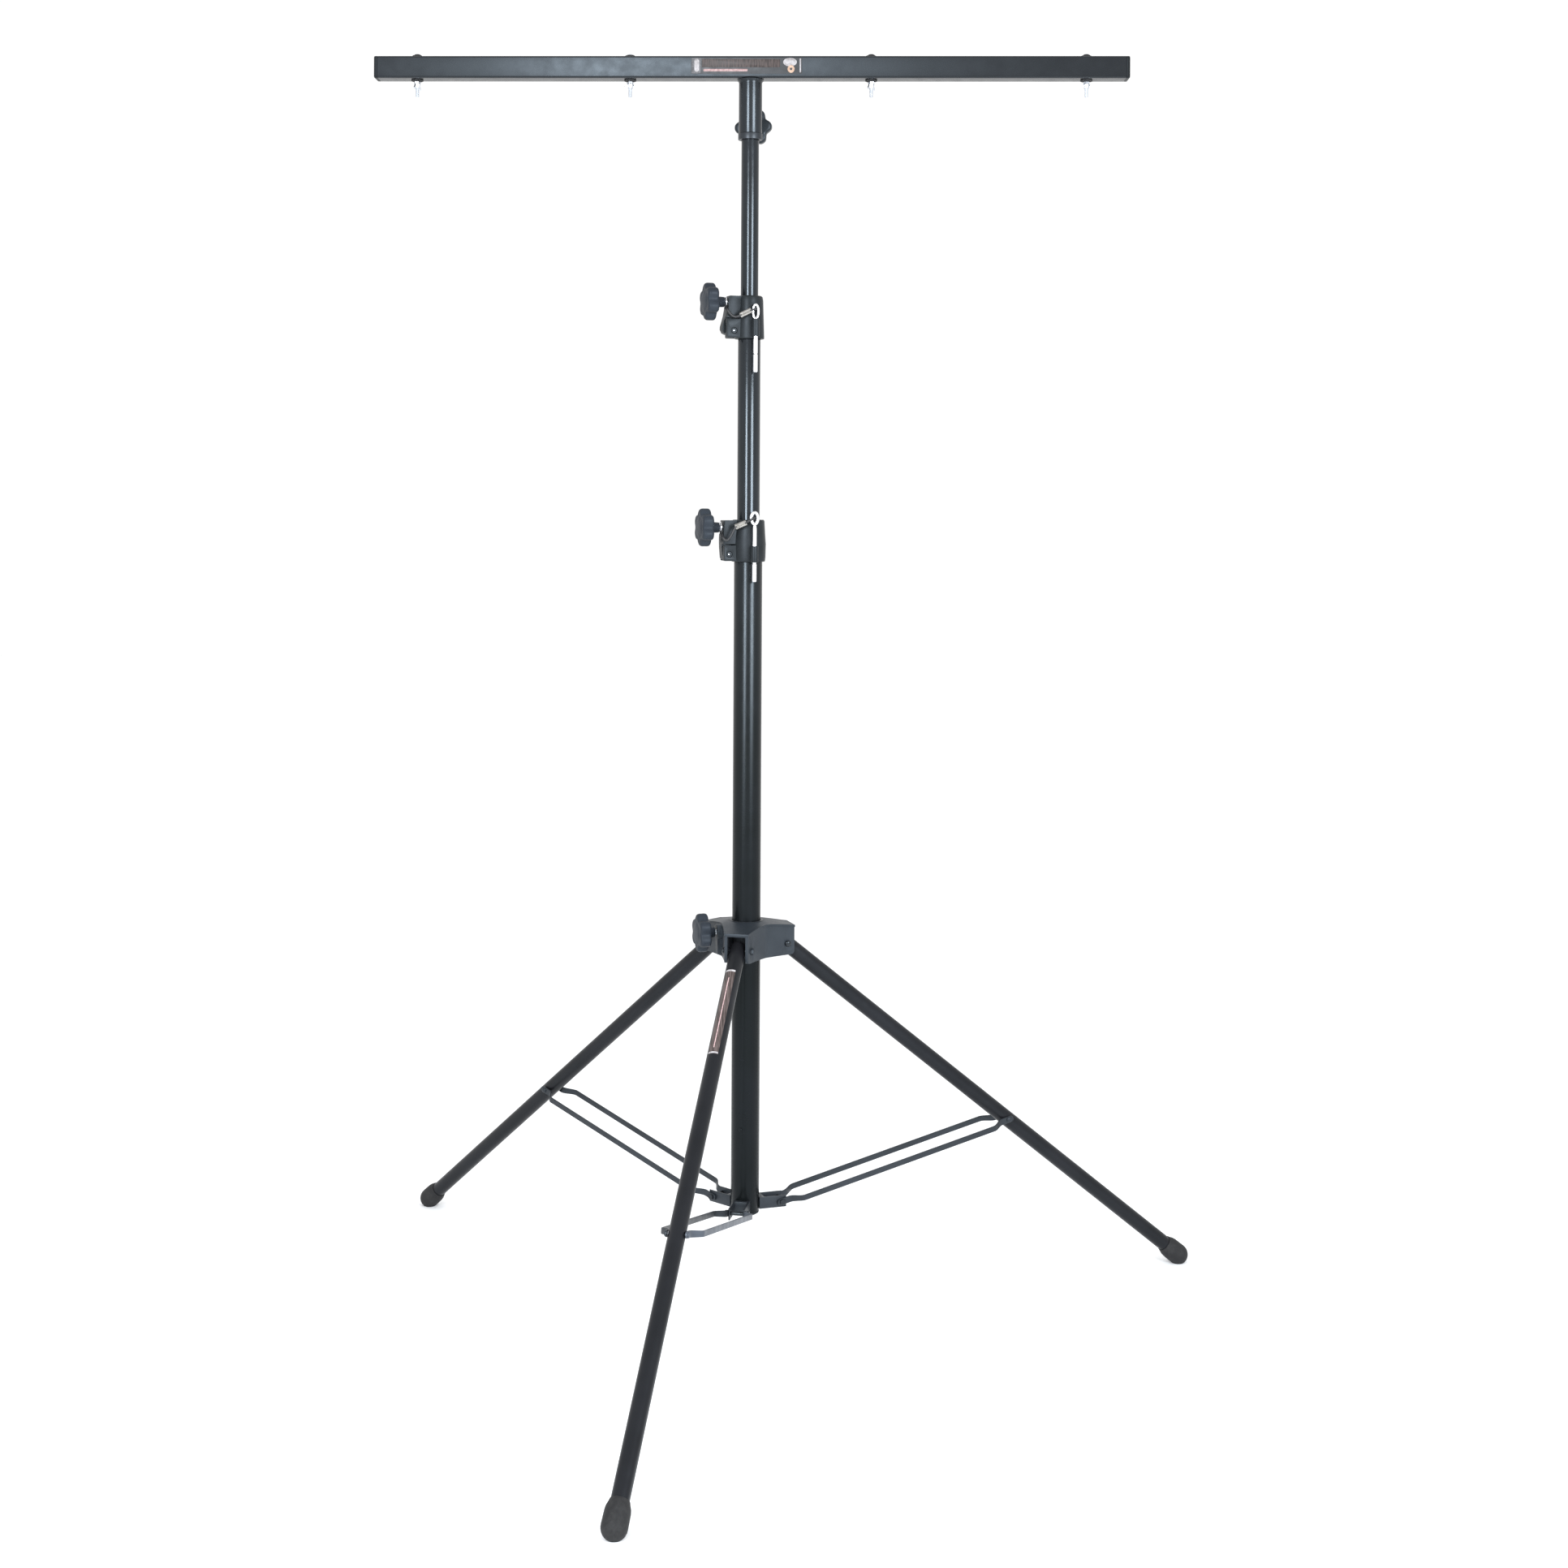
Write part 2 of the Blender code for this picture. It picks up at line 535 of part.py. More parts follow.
def make_hub():
    lo, hi = hub_outline(False), hub_outline(True)
    zl = HUB_EDGE - PLATE_T

    def lift(pts, drop, k=1.0):
        return [Vector((p.x * k, p.y * k, hub_top(p.length * k) - drop)) for p in pts]

    ob = obj(loft([[Vector((p.x, p.y, HUB_Z0)) for p in lo], lift(lo, 0.0040),
                   lift(hi, 0.0040), lift(hi, 0.0010), lift(hi, 0.0, 0.985),
                   lift(hi, 0.0, 0.80), lift(hi, 0.0, 0.62), lift(hi, 0.0, 0.46),
                   lift(hi, 0.0, 0.34)]), "hub_body")
    for az in LEG_AZ.values():
        slot = box(0.0300, 0.1000, -SLOT_HW, SLOT_HW, HUB_Z0 - 0.01, zl)
        boolean(ob, moved(slot, radial(az)), "DIFFERENCE")
    rot = radial(KNOB_AZ)
    boss = moved(lathe([(0, 0.0), (0.0120, 0.0), (0.0120, 0.0250),
                        (0.0105, 0.0270), (0, 0.0270)], 16),
                 rot @ along((0.0235, 0, HUB_KNOB_Z), (1, 0, 0)))
    boolean(ob, boss, "UNION")
    lug = moved(box(0.0235, 0.0495, -0.0062, 0.0062, HUB_Z0 + 0.0040, HUB_KNOB_Z - 0.002), rot)
    boolean(ob, lug, "UNION")
    boolean(ob, lathe([(0, 0.5), (MAIN_R + 0.0002, 0.5), (MAIN_R + 0.0002, 0.7),
                       (0, 0.7)]), "DIFFERENCE")
    boolean(ob, moved(rod(0.0043, (0.015, 0, HUB_KNOB_Z), (0.060, 0, HUB_KNOB_Z), 12),
                      rot), "DIFFERENCE")
    for az in LEG_AZ.values():
        hole = rod(0.0042, (PIV_R, -0.030, PIV_Z), (PIV_R, 0.030, PIV_Z), 12)
        boolean(ob, moved(hole, radial(az)), "DIFFERENCE")
        # spot faces for the bolt head and the lock nut
        for sg in (-1, 1):
            spot = rod(0.0065, (PIV_R, sg * 0.0222, PIV_Z), (PIV_R, sg * 0.040, PIV_Z), 16)
            boolean(ob, moved(spot, radial(az)), "DIFFERENCE")
    # rounded lower corner of each arm
    arc = [(HUB_TIP - 0.0008 - 0.0060 + 0.0060 * math.sin(math.radians(15 * k)),
            HUB_Z0 + 0.0060 - 0.0060 * math.cos(math.radians(15 * k))) for k in range(7)]
    corner = [(arc[0][0], HUB_Z0 - 0.0010)] + arc + [(HUB_TIP + 0.0020, arc[-1][1]),
                                                    (HUB_TIP + 0.0020, HUB_Z0 - 0.0010)]
    for az in LEG_AZ.values():
        boolean(ob, moved(sector(corner, -0.0300, 0.0300), radial(az)), "DIFFERENCE")
    done(ob, "slate_plastic")
    for leg, az in LEG_AZ.items():
        prof = [(0, 0), (0.0042, 0), (0.0050, 0.0008), (0.0050, 0.0035),
                (0.0040, 0.0035), (0.0040, 0.0485), (0.0050, 0.0485),
                (0.0050, 0.0512), (0.0042, 0.0520), (0, 0.0520)]
        bm = moved(lathe(prof, 12),
                   radial(az) @ along((PIV_R, -0.0260, PIV_Z), (0, 1, 0)))
        done(obj(bm, "leg_%s_pivot" % leg), "black_steel")


# ---------------------------------------------------------------- legs
def leg_frame(az):
    """Z down the leg from the pivot, Y tangential."""
    drop = Vector((FOOT_R - PIV_R, 0, FOOT_Z - PIV_Z))
    z = drop.normalized()
    y = Vector((0, 1, 0))
    x = y.cross(z)
    m = Matrix(((x.x, y.x, z.x, PIV_R), (x.y, y.y, z.y, 0.0),
                (x.z, y.z, z.z, PIV_Z), (0, 0, 0, 1)))
    return radial(az) @ m, drop.length


def make_legs():
    for leg, az in LEG_AZ.items():
        m, length = leg_frame(az)
        end = length - 0.0063
        ob = obj(lathe([(0, -0.0125), (0.0085, -0.0120), (0.0115, -0.0100),
                        (LEG_R, -0.0070), (LEG_R, end), (LEG_RI, end),
                        (LEG_RI, -0.0090), (0, -0.0090)], 16), "leg_%s_tube" % leg)
        boolean(ob, rod(0.0042, (0, -0.020, 0), (0, 0.020, 0), 12), "DIFFERENCE")
        boolean(ob, rod(0.0032, (0, -0.020, RIVET_A), (0, 0.020, RIVET_A), 12),
                "DIFFERENCE")
        ob.data.transform(m)
        done(ob, "black_steel")
        # brace rivet in the leg
        bm = rod(0.0030, (0, -0.0129, RIVET_A), (0, 0.0129, RIVET_A), 12)
        done(obj(moved(bm, m), "leg_%s_rivet" % leg), "zinc")
        # rubber foot, flattened where it stands
        prof = [(0, length + 0.0175)]
        for k in (1, 2, 3, 4):
            a = math.radians(90 - 22.5 * k)
            prof.append((0.0175 * math.cos(a), length + 0.0175 * math.sin(a)))
        prof += [(0.0172, length - 0.0190), (0.0166, length - 0.0230),
                 (0.0140, length - 0.0310), (0.0136, length - 0.0330),
                 (LEG_R + 0.0001, length - 0.0330),
                 (LEG_R + 0.0001, length - 0.0060), (0, length - 0.0060)]
        foot = obj(moved(lathe(prof, 16), m), "leg_%s_foot" % leg)
        floor = box(-1.5, 1.5, -1.5, 1.5, -0.2, 0.0)
        boolean(foot, floor, "DIFFERENCE")
        done(foot, "rubber")


def make_braces():
    for leg, az in LEG_AZ.items():
        m, length = leg_frame(az)
        inner = radial(az) @ Vector((CLEV_R, 0, CLEV_Z))
        outer = m @ Vector((0, 0, RIVET_A))
        run = (outer - inner)
        b = run.length
        x = run.normalized()
        y = radial(az) @ Vector((0, 1, 0))
        z = x.cross(y)
        fr = Matrix(((x.x, y.x, z.x, inner.x), (x.y, y.y, z.y, inner.y),
                     (x.z, y.z, z.z, inner.z), (0, 0, 0, 1)))
        near, far = 0.0147, 0.0300
        for side, sg in (("a", 1), ("b", -1)):
            st = [(-0.0080, near, 0.0022), (-0.0062, near, 0.0042),
                  (-0.0035, near, 0.0050), (0.0130, near, 0.0050),
                  (0.0340, far, 0.0043), (b - 0.0340, far, 0.0043),
                  (b - 0.0130, near, 0.0050), (b + 0.0035, near, 0.0050),
                  (b + 0.0062, near, 0.0042), (b + 0.0080, near, 0.0022)]
            rings = []
            for l, t, h in st:
                rings.append([Vector((l, sg * t + 0.0015 * p, h * q))
                              for p, q in ((-1, -1), (1, -1), (1, 1), (-1, 1))])
            ob = obj(loft(rings), "brace_%s_%s" % (leg, side))
            boolean(ob, rod(0.0032, (0, sg * 0.010, 0), (0, sg * 0.020, 0), 12),
                    "DIFFERENCE")
            head = lathe([(0, 0), (0.0046, 0), (0.0046, 0.0015), (0.0036, 0.0026),
                          (0, 0.0031)], 12)
            moved(head, along((b, sg * 0.0157, 0), (0, sg, 0)))
            boolean(ob, head, "UNION")
            ob.data.transform(fr)
            done(ob, "grey_coat")


def make_clevises():
    for leg, az in LEG_AZ.items():
        rot = radial(az)
        pts = [(0.0205, -0.0129), (0.0655, -0.0129), (0.0655, -0.0104),
               (0.0290, -0.0104), (0.0290, 0.0104), (0.0655, 0.0104),
               (0.0655, 0.0129), (0.0205, 0.0129)]
        ob = obj(moved(prism(pts, CLEV_Z - 0.0090, CLEV_Z + 0.0090,
                             lambda u, v, w: Vector((u, v, w))), rot),
                 "clevis_%s" % leg)
        # inner face follows the mast
        boolean(ob, lathe([(0, 0.10), (MAIN_R + 0.0002, 0.10),
                           (MAIN_R + 0.0002, 0.25), (0, 0.25)]), "DIFFERENCE")
        hole = rod(0.0032, (CLEV_R, -0.020, CLEV_Z), (CLEV_R, 0.020, CLEV_Z), 12)
        boolean(ob, moved(hole, rot), "DIFFERENCE")
        done(ob, "grey_coat")
        prof = [(0, 0), (0.0042, 0), (0.0050, 0.0008), (0.0050, 0.0027),
                (0.0030, 0.0027), (0.0030, 0.0357), (0.0050, 0.0357),
                (0.0050, 0.0376), (0.0042, 0.0384), (0, 0.0384)]
        bm = moved(lathe(prof, 12),
                   rot @ along((CLEV_R, -0.0192, CLEV_Z), (0, 1, 0)))
        done(obj(bm, "clevis_bolt_%s" % leg), "black_steel")


# ---------------------------------------------------------------- assembly
make_main_tube()
make_extensions()
make_clevises()
make_collar("lower",
            [(0.02265, 1.1931), (0.0268, 1.1931), (0.0276, 1.2000),
             (0.0281, 1.2210), (0.0268, 1.2400), (0.0258, 1.2575),
             (0.0246, 1.2597), (0.0181, 1.2597), (0.0181, 1.2384),
             (0.02265, 1.2384)],
            0.0438, (1.1945, 1.2190), LO_BOLT, LO_KNOB_Z, LO_PIN_AZ, LO_PIN_RAD,
            (1.1925, 1.2185),
            [(0.0180, 1.2215), (0.0452, 1.2215), (0.0453, 1.2310),
             (0.0432, 1.2575), (0.0420, 1.2588), (0.0180, 1.2588)],
            [(0.0240, 1.1965), (0.0415, 1.1965), (0.0436, 1.1990),
             (0.0450, 1.2150), (0.0452, 1.2260), (0.0240, 1.2260)], 0.0181,
            0.0025)
make_collar("upper",
            [(0.01815, 1.5472), (0.0235, 1.5472), (0.0238, 1.5490),
             (0.0220, 1.6080), (0.0210, 1.6138), (0.0192, 1.6156),
             (0.0141, 1.6156), (0.0141, 1.5989), (0.01815, 1.5989)],
            0.0415, (1.5484, 1.5782), UP_BOLT, UP_KNOB_Z, UP_PIN_AZ, UP_PIN_RAD,
            (1.5500, 1.5770),
            [(0.0150, 1.5797), (0.0414, 1.5797), (0.0388, 1.5940),
             (0.0384, 1.6100), (0.0362, 1.6146), (0.0150, 1.6146)],
            [(0.0200, 1.5535), (0.0380, 1.5535), (0.0430, 1.5558),
             (0.0458, 1.5615), (0.0455, 1.5665), (0.0405, 1.5840),
             (0.0200, 1.5840)], 0.0141, 0.0060)
make_knob("lower_knob", KNOB_AZ, LO_KNOB_Z, 0.0184, 0.0497, 0.0632, 30.0)
make_knob("upper_knob", KNOB_AZ, UP_KNOB_Z, 0.0144, 0.0427, 0.0567, -25.0)
make_knob("hub_knob", KNOB_AZ, HUB_KNOB_Z, 0.0229, 0.0535, 0.0640, 33.0)
make_knob("socket_knob", SOCKET_KNOB_AZ, SOCKET_KNOB_Z, 0.0146, 0.0290, 0.0350, -3.0)
make_pin("lower_pin", LO_PIN_AZ, LO_PIN_RAD, LO_PIN_Z0, LO_PIN_EYE, 0.0051, 0.0089, 0.0026)
make_pin("upper_pin", UP_PIN_AZ, UP_PIN_RAD, UP_PIN_Z0, UP_PIN_EYE, 0.0043, 0.0110, 0.0019)
make_tether("lower_tether", 0.0476, LO_KNOB_Z,
            [(-0.0400, -0.0330, 1.2330), (-0.0340, -0.0355, 1.2275),
             (-0.0280, -0.0350, 1.2320)],
            [(-0.0193, -0.0350, 1.2482), (-0.0021, -0.0368, 1.2556)],
            [(0.0035, -0.0382, 1.2590), (0.0080, -0.0380, 1.2612),
             (0.0104, -0.0345, 1.2623), (0.0106, -0.0288, 1.2623)])
make_tether("upper_tether", 0.0406, UP_KNOB_Z,
            [(-0.0372, -0.0238, 1.5950), (-0.0340, -0.0285, 1.5915),
             (-0.0270, -0.0297, 1.5830), (-0.0205, -0.0297, 1.5805)],
            [(-0.0135, -0.0300, 1.5827), (0.0040, -0.0318, 1.5908)],
            [(0.0070, -0.0326, 1.5917), (0.0095, -0.0320, 1.5924),
             (0.0106, -0.0290, 1.5926), (0.0106, -0.0232, 1.5926)])
make_tbar()
make_socket()
make_hub()
make_legs()
make_braces()

# ---------------------------------------------------------------- origin
low = Vector((1e9, 1e9, 1e9))
high = Vector((-1e9, -1e9, -1e9))
nodes = [o for o in bpy.data.objects if o.type == "MESH"]
for o in nodes:
    for v in o.data.vertices:
        for k in range(3):
            low[k] = min(low[k], v.co[k])
            high[k] = max(high[k], v.co[k])
shift = Vector((-(low.x + high.x) / 2, -(low.y + high.y) / 2, -low.z))
for o in nodes:
    o.data.transform(Matrix.Translation(shift))
    o.data.update()
print("mast axis at", round(shift.x, 7), round(shift.y, 7), round(shift.z, 7))
print("size", [round(c, 5) for c in (high - low)], "nodes", len(nodes))
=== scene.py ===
"""Looks of the lighting stand: smooth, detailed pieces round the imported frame."""
import json
import math

import bmesh
import bpy
from mathutils import Matrix, Vector

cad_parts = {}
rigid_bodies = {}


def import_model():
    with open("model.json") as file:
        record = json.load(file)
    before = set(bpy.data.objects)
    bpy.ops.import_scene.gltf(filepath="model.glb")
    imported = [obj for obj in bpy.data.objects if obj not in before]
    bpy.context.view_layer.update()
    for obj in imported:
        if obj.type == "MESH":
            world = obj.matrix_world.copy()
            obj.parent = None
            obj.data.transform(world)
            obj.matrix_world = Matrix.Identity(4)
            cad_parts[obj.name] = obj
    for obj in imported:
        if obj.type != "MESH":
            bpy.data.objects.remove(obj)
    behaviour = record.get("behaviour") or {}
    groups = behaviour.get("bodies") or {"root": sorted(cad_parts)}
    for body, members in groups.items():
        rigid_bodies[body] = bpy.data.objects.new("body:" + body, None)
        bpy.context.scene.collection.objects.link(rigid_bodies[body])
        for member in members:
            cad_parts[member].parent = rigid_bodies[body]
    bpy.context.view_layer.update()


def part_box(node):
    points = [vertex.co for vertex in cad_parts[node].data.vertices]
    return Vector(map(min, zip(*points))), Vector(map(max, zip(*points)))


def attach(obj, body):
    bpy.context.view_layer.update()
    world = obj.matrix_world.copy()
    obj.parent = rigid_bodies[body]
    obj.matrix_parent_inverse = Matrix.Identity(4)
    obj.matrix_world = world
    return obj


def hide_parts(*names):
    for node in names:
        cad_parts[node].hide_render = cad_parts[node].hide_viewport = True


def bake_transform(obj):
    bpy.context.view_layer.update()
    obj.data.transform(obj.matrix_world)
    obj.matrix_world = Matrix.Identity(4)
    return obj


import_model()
lo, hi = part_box("main_tube")
MX, MY = (lo[0] + hi[0]) / 2, (lo[1] + hi[1]) / 2
SHIFT = Matrix.Translation((MX, MY, 0.0))
scene = bpy.context.scene
scene.view_settings.view_transform = "Standard"

# ------------------------------------------------------------ sizes as the CAD
MAIN_R, MAIN_RI, MAIN_Z0, MAIN_Z1 = 0.0225, 0.0205, 0.1640, 1.2380
MID_R, MID_RI, MID_Z0, MID_Z1 = 0.0180, 0.01625, 0.4700, 1.5985
TOP_R, TOP_RI, TOP_Z0, TOP_Z1 = 0.0140, 0.0125, 0.7300, 1.9500
BAR_H, BAR_WALL, BAR_CORNER = 0.0350, 0.0015, 0.0030
BAR_ZC, BAR_HALF, CAP_T = 1.9780, 0.5940, 0.0060
BAR_BOLTS = (-0.533, -0.192, 0.192, 0.533)
WING_YAW = (70.0, 22.0, 58.0, 12.0)
LEG_AZ = {"front": -100.51, "right": 19.49, "left": 139.49}
LEG_R, LEG_RI = 0.0125, 0.0110
PIV_R, PIV_Z = 0.0626, 0.5863
FOOT_R, FOOT_Z = 0.7731, 0.0140
RIVET_A = 0.5000
CLEV_R, CLEV_Z = 0.0580, 0.1750
HUB_Z0, HUB_Z1, HUB_EDGE = 0.5685, 0.6245, 0.6152
HUB_TIP, HUB_HW = 0.0755, 0.0195
SLOT_HW, PLATE_T = 0.0145, 0.0052
KNOB_AZ, SOCKET_KNOB_AZ = 199.49, 85.0
KNOB_R, KNOB_DEEP = 0.0300, 0.0058
UP_PIN_AZ, LO_PIN_AZ, PIN_R = -68.5, -71.8, 0.0035
UP_PIN_RAD, UP_PIN_Z0, UP_PIN_EYE = 0.0290, 1.4930, 1.5890
LO_PIN_RAD, LO_PIN_Z0, LO_PIN_EYE = 0.0340, 1.1620, 1.2623
UP_KNOB_Z, LO_KNOB_Z, HUB_KNOB_Z, SOCKET_KNOB_Z = 1.6050, 1.2474, 0.6070, 1.8920
UP_BOLT, LO_BOLT = (0.0289, 1.5595), (0.0353, 1.2048)
GAP = 0.0003
SEG = 72


# ------------------------------------------------------------ camera and light
def stage_camera():
    cam = bpy.data.objects.new("camera", bpy.data.cameras.new("camera"))
    scene.collection.objects.link(cam)
    cam.data.sensor_width = 36.0
    cam.data.lens = 2696.4 / 1932.0 * 36.0
    cam.data.shift_x = (966.0 - 922.28) / 1932.0
    cam.data.shift_y = (600.02 - 966.0) / 1932.0
    cam.data.clip_start, cam.data.clip_end = 0.05, 60.0
    pitch, roll = 0.0044, 0.0051
    fwd = Vector((-0.0254, 0.99968, 0.0)).normalized()
    right = fwd.cross(Vector((0, 0, 1))).normalized()
    fwd = (fwd * math.cos(pitch) + Vector((0, 0, 1)) * math.sin(pitch)).normalized()
    up = right.cross(fwd).normalized()
    r2 = right * math.cos(roll) + up * math.sin(roll)
    u2 = -right * math.sin(roll) + up * math.cos(roll)
    m = Matrix(((r2.x, u2.x, -fwd.x, MX + 0.0885), (r2.y, u2.y, -fwd.y, MY - 3.4827),
                (r2.z, u2.z, -fwd.z, 1.2965), (0, 0, 0, 1)))
    cam.matrix_world = m
    scene.camera = cam


def strip(name, az, dist, z0, z1, width, radiance, tint=(1, 1, 1)):
    """Upright soft box, az measured from the front towards +X."""
    a = math.radians(az)
    light = bpy.data.lights.new(name, "AREA")
    light.shape = "RECTANGLE"
    light.size, light.size_y = width, z1 - z0
    light.energy = radiance * math.pi * width * (z1 - z0)
    light.color = tint
    ob = bpy.data.objects.new(name, light)
    pos = Vector((MX + dist * math.sin(a), MY - dist * math.cos(a), (z0 + z1) / 2))
    aim = Vector((MX, MY, (z0 + z1) / 2)) - pos
    ob.location = pos
    ob.rotation_euler = aim.to_track_quat("-Z", "Y").to_euler()
    scene.collection.objects.link(ob)
    return ob


def stage_lights():
    world = bpy.data.worlds.new("studio")
    scene.world = world
    world.use_nodes = True
    nt = world.node_tree
    nt.nodes.clear()
    out = nt.nodes.new("ShaderNodeOutputWorld")
    bg = nt.nodes.new("ShaderNodeBackground")
    bg.inputs["Color"].default_value = (1.0, 1.0, 1.0, 1)
    bg.inputs["Strength"].default_value = 1.03
    nt.links.new(bg.outputs[0], out.inputs[0])
    for name, az, width, power in (("left", -22.0, 0.72, 27.0), ("right", 36.0, 1.05, 22.0)):
        for k, (z0, z1, share) in enumerate(((1.30, 2.34, 1.0), (0.95, 1.30, 0.45),
                                             (0.60, 0.95, 0.16))):
            strip("softbox_%s_%d" % (name, k), az, 3.0, z0, z1, width, power * share,
                  (0.88, 0.94, 1.0))
    mesh = bpy.data.meshes.new("floor")
    s = 14.0
    mesh.from_pydata([(-s, -s, 0), (s, -s, 0), (s, s, 0), (-s, s, 0)], [], [(0, 1, 2, 3)])
    ob = bpy.data.objects.new("floor", mesh)
    scene.collection.objects.link(ob)
    mat = bpy.data.materials.new("floor_paint")
    mat.use_nodes = True
    b = mat.node_tree.nodes["Principled BSDF"]
    b.inputs["Base Color"].default_value = (0.985, 0.985, 0.985, 1)
    b.inputs["Roughness"].default_value = 0.9
    mesh.materials.append(mat)


stage_camera()
stage_lights()


# ------------------------------------------------------------ materials
def new_mat(name):
    mat = bpy.data.materials.new(name)
    mat.use_nodes = True
    nt = mat.node_tree
    bsdf = nt.nodes["Principled BSDF"]
    return mat, nt, bsdf


def noise(nt, scale, detail=2.0, stretch=(1, 1, 1), rough=0.5):
    tc = nt.nodes.new("ShaderNodeTexCoord")
    mp = nt.nodes.new("ShaderNodeMapping")
    mp.inputs["Scale"].default_value = stretch
    n = nt.nodes.new("ShaderNodeTexNoise")
    n.inputs["Scale"].default_value = scale
    n.inputs["Detail"].default_value = detail
    n.inputs["Roughness"].default_value = rough
    nt.links.new(tc.outputs["Object"], mp.inputs[0])
    nt.links.new(mp.outputs[0], n.inputs["Vector"])
    return n


def ramp(nt, src, lo_v, hi_v, a=0.35, b=0.65):
    r = nt.nodes.new("ShaderNodeMapRange")
    r.inputs["From Min"].default_value = a
    r.inputs["From Max"].default_value = b
    r.inputs["To Min"].default_value = lo_v
    r.inputs["To Max"].default_value = hi_v
    nt.links.new(src, r.inputs["Value"])
    return r.outputs[0]


def mix_rgb(nt, fac, c1, c2):
    m = nt.nodes.new("ShaderNodeMix")
    m.data_type = "RGBA"
    nt.links.new(fac, m.inputs["Factor"])
    if isinstance(c1, tuple):
        m.inputs["A"].default_value = (*c1, 1)
    else:
        nt.links.new(c1, m.inputs["A"])
    m.inputs["B"].default_value = (*c2, 1)
    return m.outputs["Result"]


def bump(nt, bsdf, src, strength, dist):
    b = nt.nodes.new("ShaderNodeBump")
    b.inputs["Strength"].default_value = strength
    b.inputs["Distance"].default_value = dist
    nt.links.new(src, b.inputs["Height"])
    nt.links.new(b.outputs[0], bsdf.inputs["Normal"])
    return b


def coat_metal(name, dark, light, r0, r1, peel=0.10, streak=None, scratch=None,
               level=0.40, painted_shade_fade=None):
    """Powder coat: cloudy tone, orange peel, and long rub marks on sliding tubes."""
    mat, nt, bsdf = new_mat(name)
    cloud = noise(nt, 14.0, 4.0)
    col = mix_rgb(nt, ramp(nt, cloud.outputs["Fac"], 0, 1, 0.3, 0.7), dark, light)
    rg = noise(nt, 60.0, 3.0)
    rough = ramp(nt, rg.outputs["Fac"], r0, r1, 0.3, 0.7)
    if streak:
        st = noise(nt, 1.0, 3.0, streak, 0.6)
        mask = ramp(nt, st.outputs["Fac"], 0.0, 1.0, 0.62, 0.72)
        col = mix_rgb(nt, mask, col, scratch)
        add = nt.nodes.new("ShaderNodeMath")
        add.operation = "MULTIPLY_ADD"
        nt.links.new(mask, add.inputs[0])
        add.inputs[1].default_value = 0.10
        nt.links.new(rough, add.inputs[2])
        rough = add.outputs[0]
    nt.links.new(col, bsdf.inputs["Base Color"])
    nt.links.new(rough, bsdf.inputs["Roughness"])
    fine = noise(nt, 1500.0, 2.0)
    bump(nt, bsdf, fine.outputs["Fac"], peel, 0.00008)
    bsdf.inputs["Specular IOR Level"].default_value = level
    bsdf.inputs["Specular Tint"].default_value = (0.82, 0.92, 1.0, 1)
    if painted_shade_fade:
        # painted shade: the gloss drops towards the lower end of the tube
        tc = nt.nodes.new("ShaderNodeTexCoord")
        sep = nt.nodes.new("ShaderNodeSeparateXYZ")
        nt.links.new(tc.outputs["Object"], sep.inputs[0])
        nt.links.new(ramp(nt, sep.outputs["Z"], painted_shade_fade[2], level, painted_shade_fade[0], painted_shade_fade[1]),
                     bsdf.inputs["Specular IOR Level"])
    return mat


def moulded(name, dark, light, r0, r1, grain=0.25, scale=2200.0, level=0.42):
    """Moulded plastic with a fine spark-eroded grain."""
    mat, nt, bsdf = new_mat(name)
    cloud = noise(nt, 35.0, 5.0)
    spots = noise(nt, 900.0, 2.0)
    col = mix_rgb(nt, ramp(nt, cloud.outputs["Fac"], 0, 1, 0.3, 0.7), dark, light)
    col = mix_rgb(nt, ramp(nt, spots.outputs["Fac"], 0.0, 0.5, 0.60, 0.75), col,
                  tuple(min(1.0, c * 1.5) for c in light))
    nt.links.new(col, bsdf.inputs["Base Color"])
    nt.links.new(ramp(nt, cloud.outputs["Fac"], r0, r1, 0.3, 0.7), bsdf.inputs["Roughness"])
    vor = nt.nodes.new("ShaderNodeTexVoronoi")
    vor.inputs["Scale"].default_value = scale
    tc = nt.nodes.new("ShaderNodeTexCoord")
    nt.links.new(tc.outputs["Object"], vor.inputs["Vector"])
    bump(nt, bsdf, vor.outputs["Distance"], grain, 0.0001)
    bsdf.inputs["Specular IOR Level"].default_value = level
    bsdf.inputs["Specular Tint"].default_value = (0.84, 0.92, 1.0, 1)
    return mat


def bare_metal(name, dark, light, r0, r1, stretch=(1, 1, 1), scale=120.0, bump_s=0.15):
    mat, nt, bsdf = new_mat(name)
    n1 = noise(nt, scale, 4.0, stretch)
    n2 = noise(nt, 900.0, 2.0, stretch)
    col = mix_rgb(nt, ramp(nt, n1.outputs["Fac"], 0, 1, 0.3, 0.7), dark, light)
    nt.links.new(col, bsdf.inputs["Base Color"])
    nt.links.new(ramp(nt, n1.outputs["Fac"], r0, r1, 0.3, 0.7), bsdf.inputs["Roughness"])
    bsdf.inputs["Metallic"].default_value = 1.0
    bump(nt, bsdf, n2.outputs["Fac"], bump_s, 0.00006)
    return mat


def rubber_mat():
    mat, nt, bsdf = new_mat("rubber_black")
    dust = noise(nt, 90.0, 6.0, rough=0.7)
    col = mix_rgb(nt, ramp(nt, dust.outputs["Fac"], 0, 1, 0.45, 0.75),
                  (0.011, 0.011, 0.012), (0.030, 0.030, 0.030))
    bsdf.inputs["Specular IOR Level"].default_value = 0.3
    nt.links.new(col, bsdf.inputs["Base Color"])
    nt.links.new(ramp(nt, dust.outputs["Fac"], 0.55, 0.8, 0.3, 0.7), bsdf.inputs["Roughness"])
    fine = noise(nt, 1200.0, 3.0)
    bump(nt, bsdf, fine.outputs["Fac"], 0.35, 0.0002)
    return mat


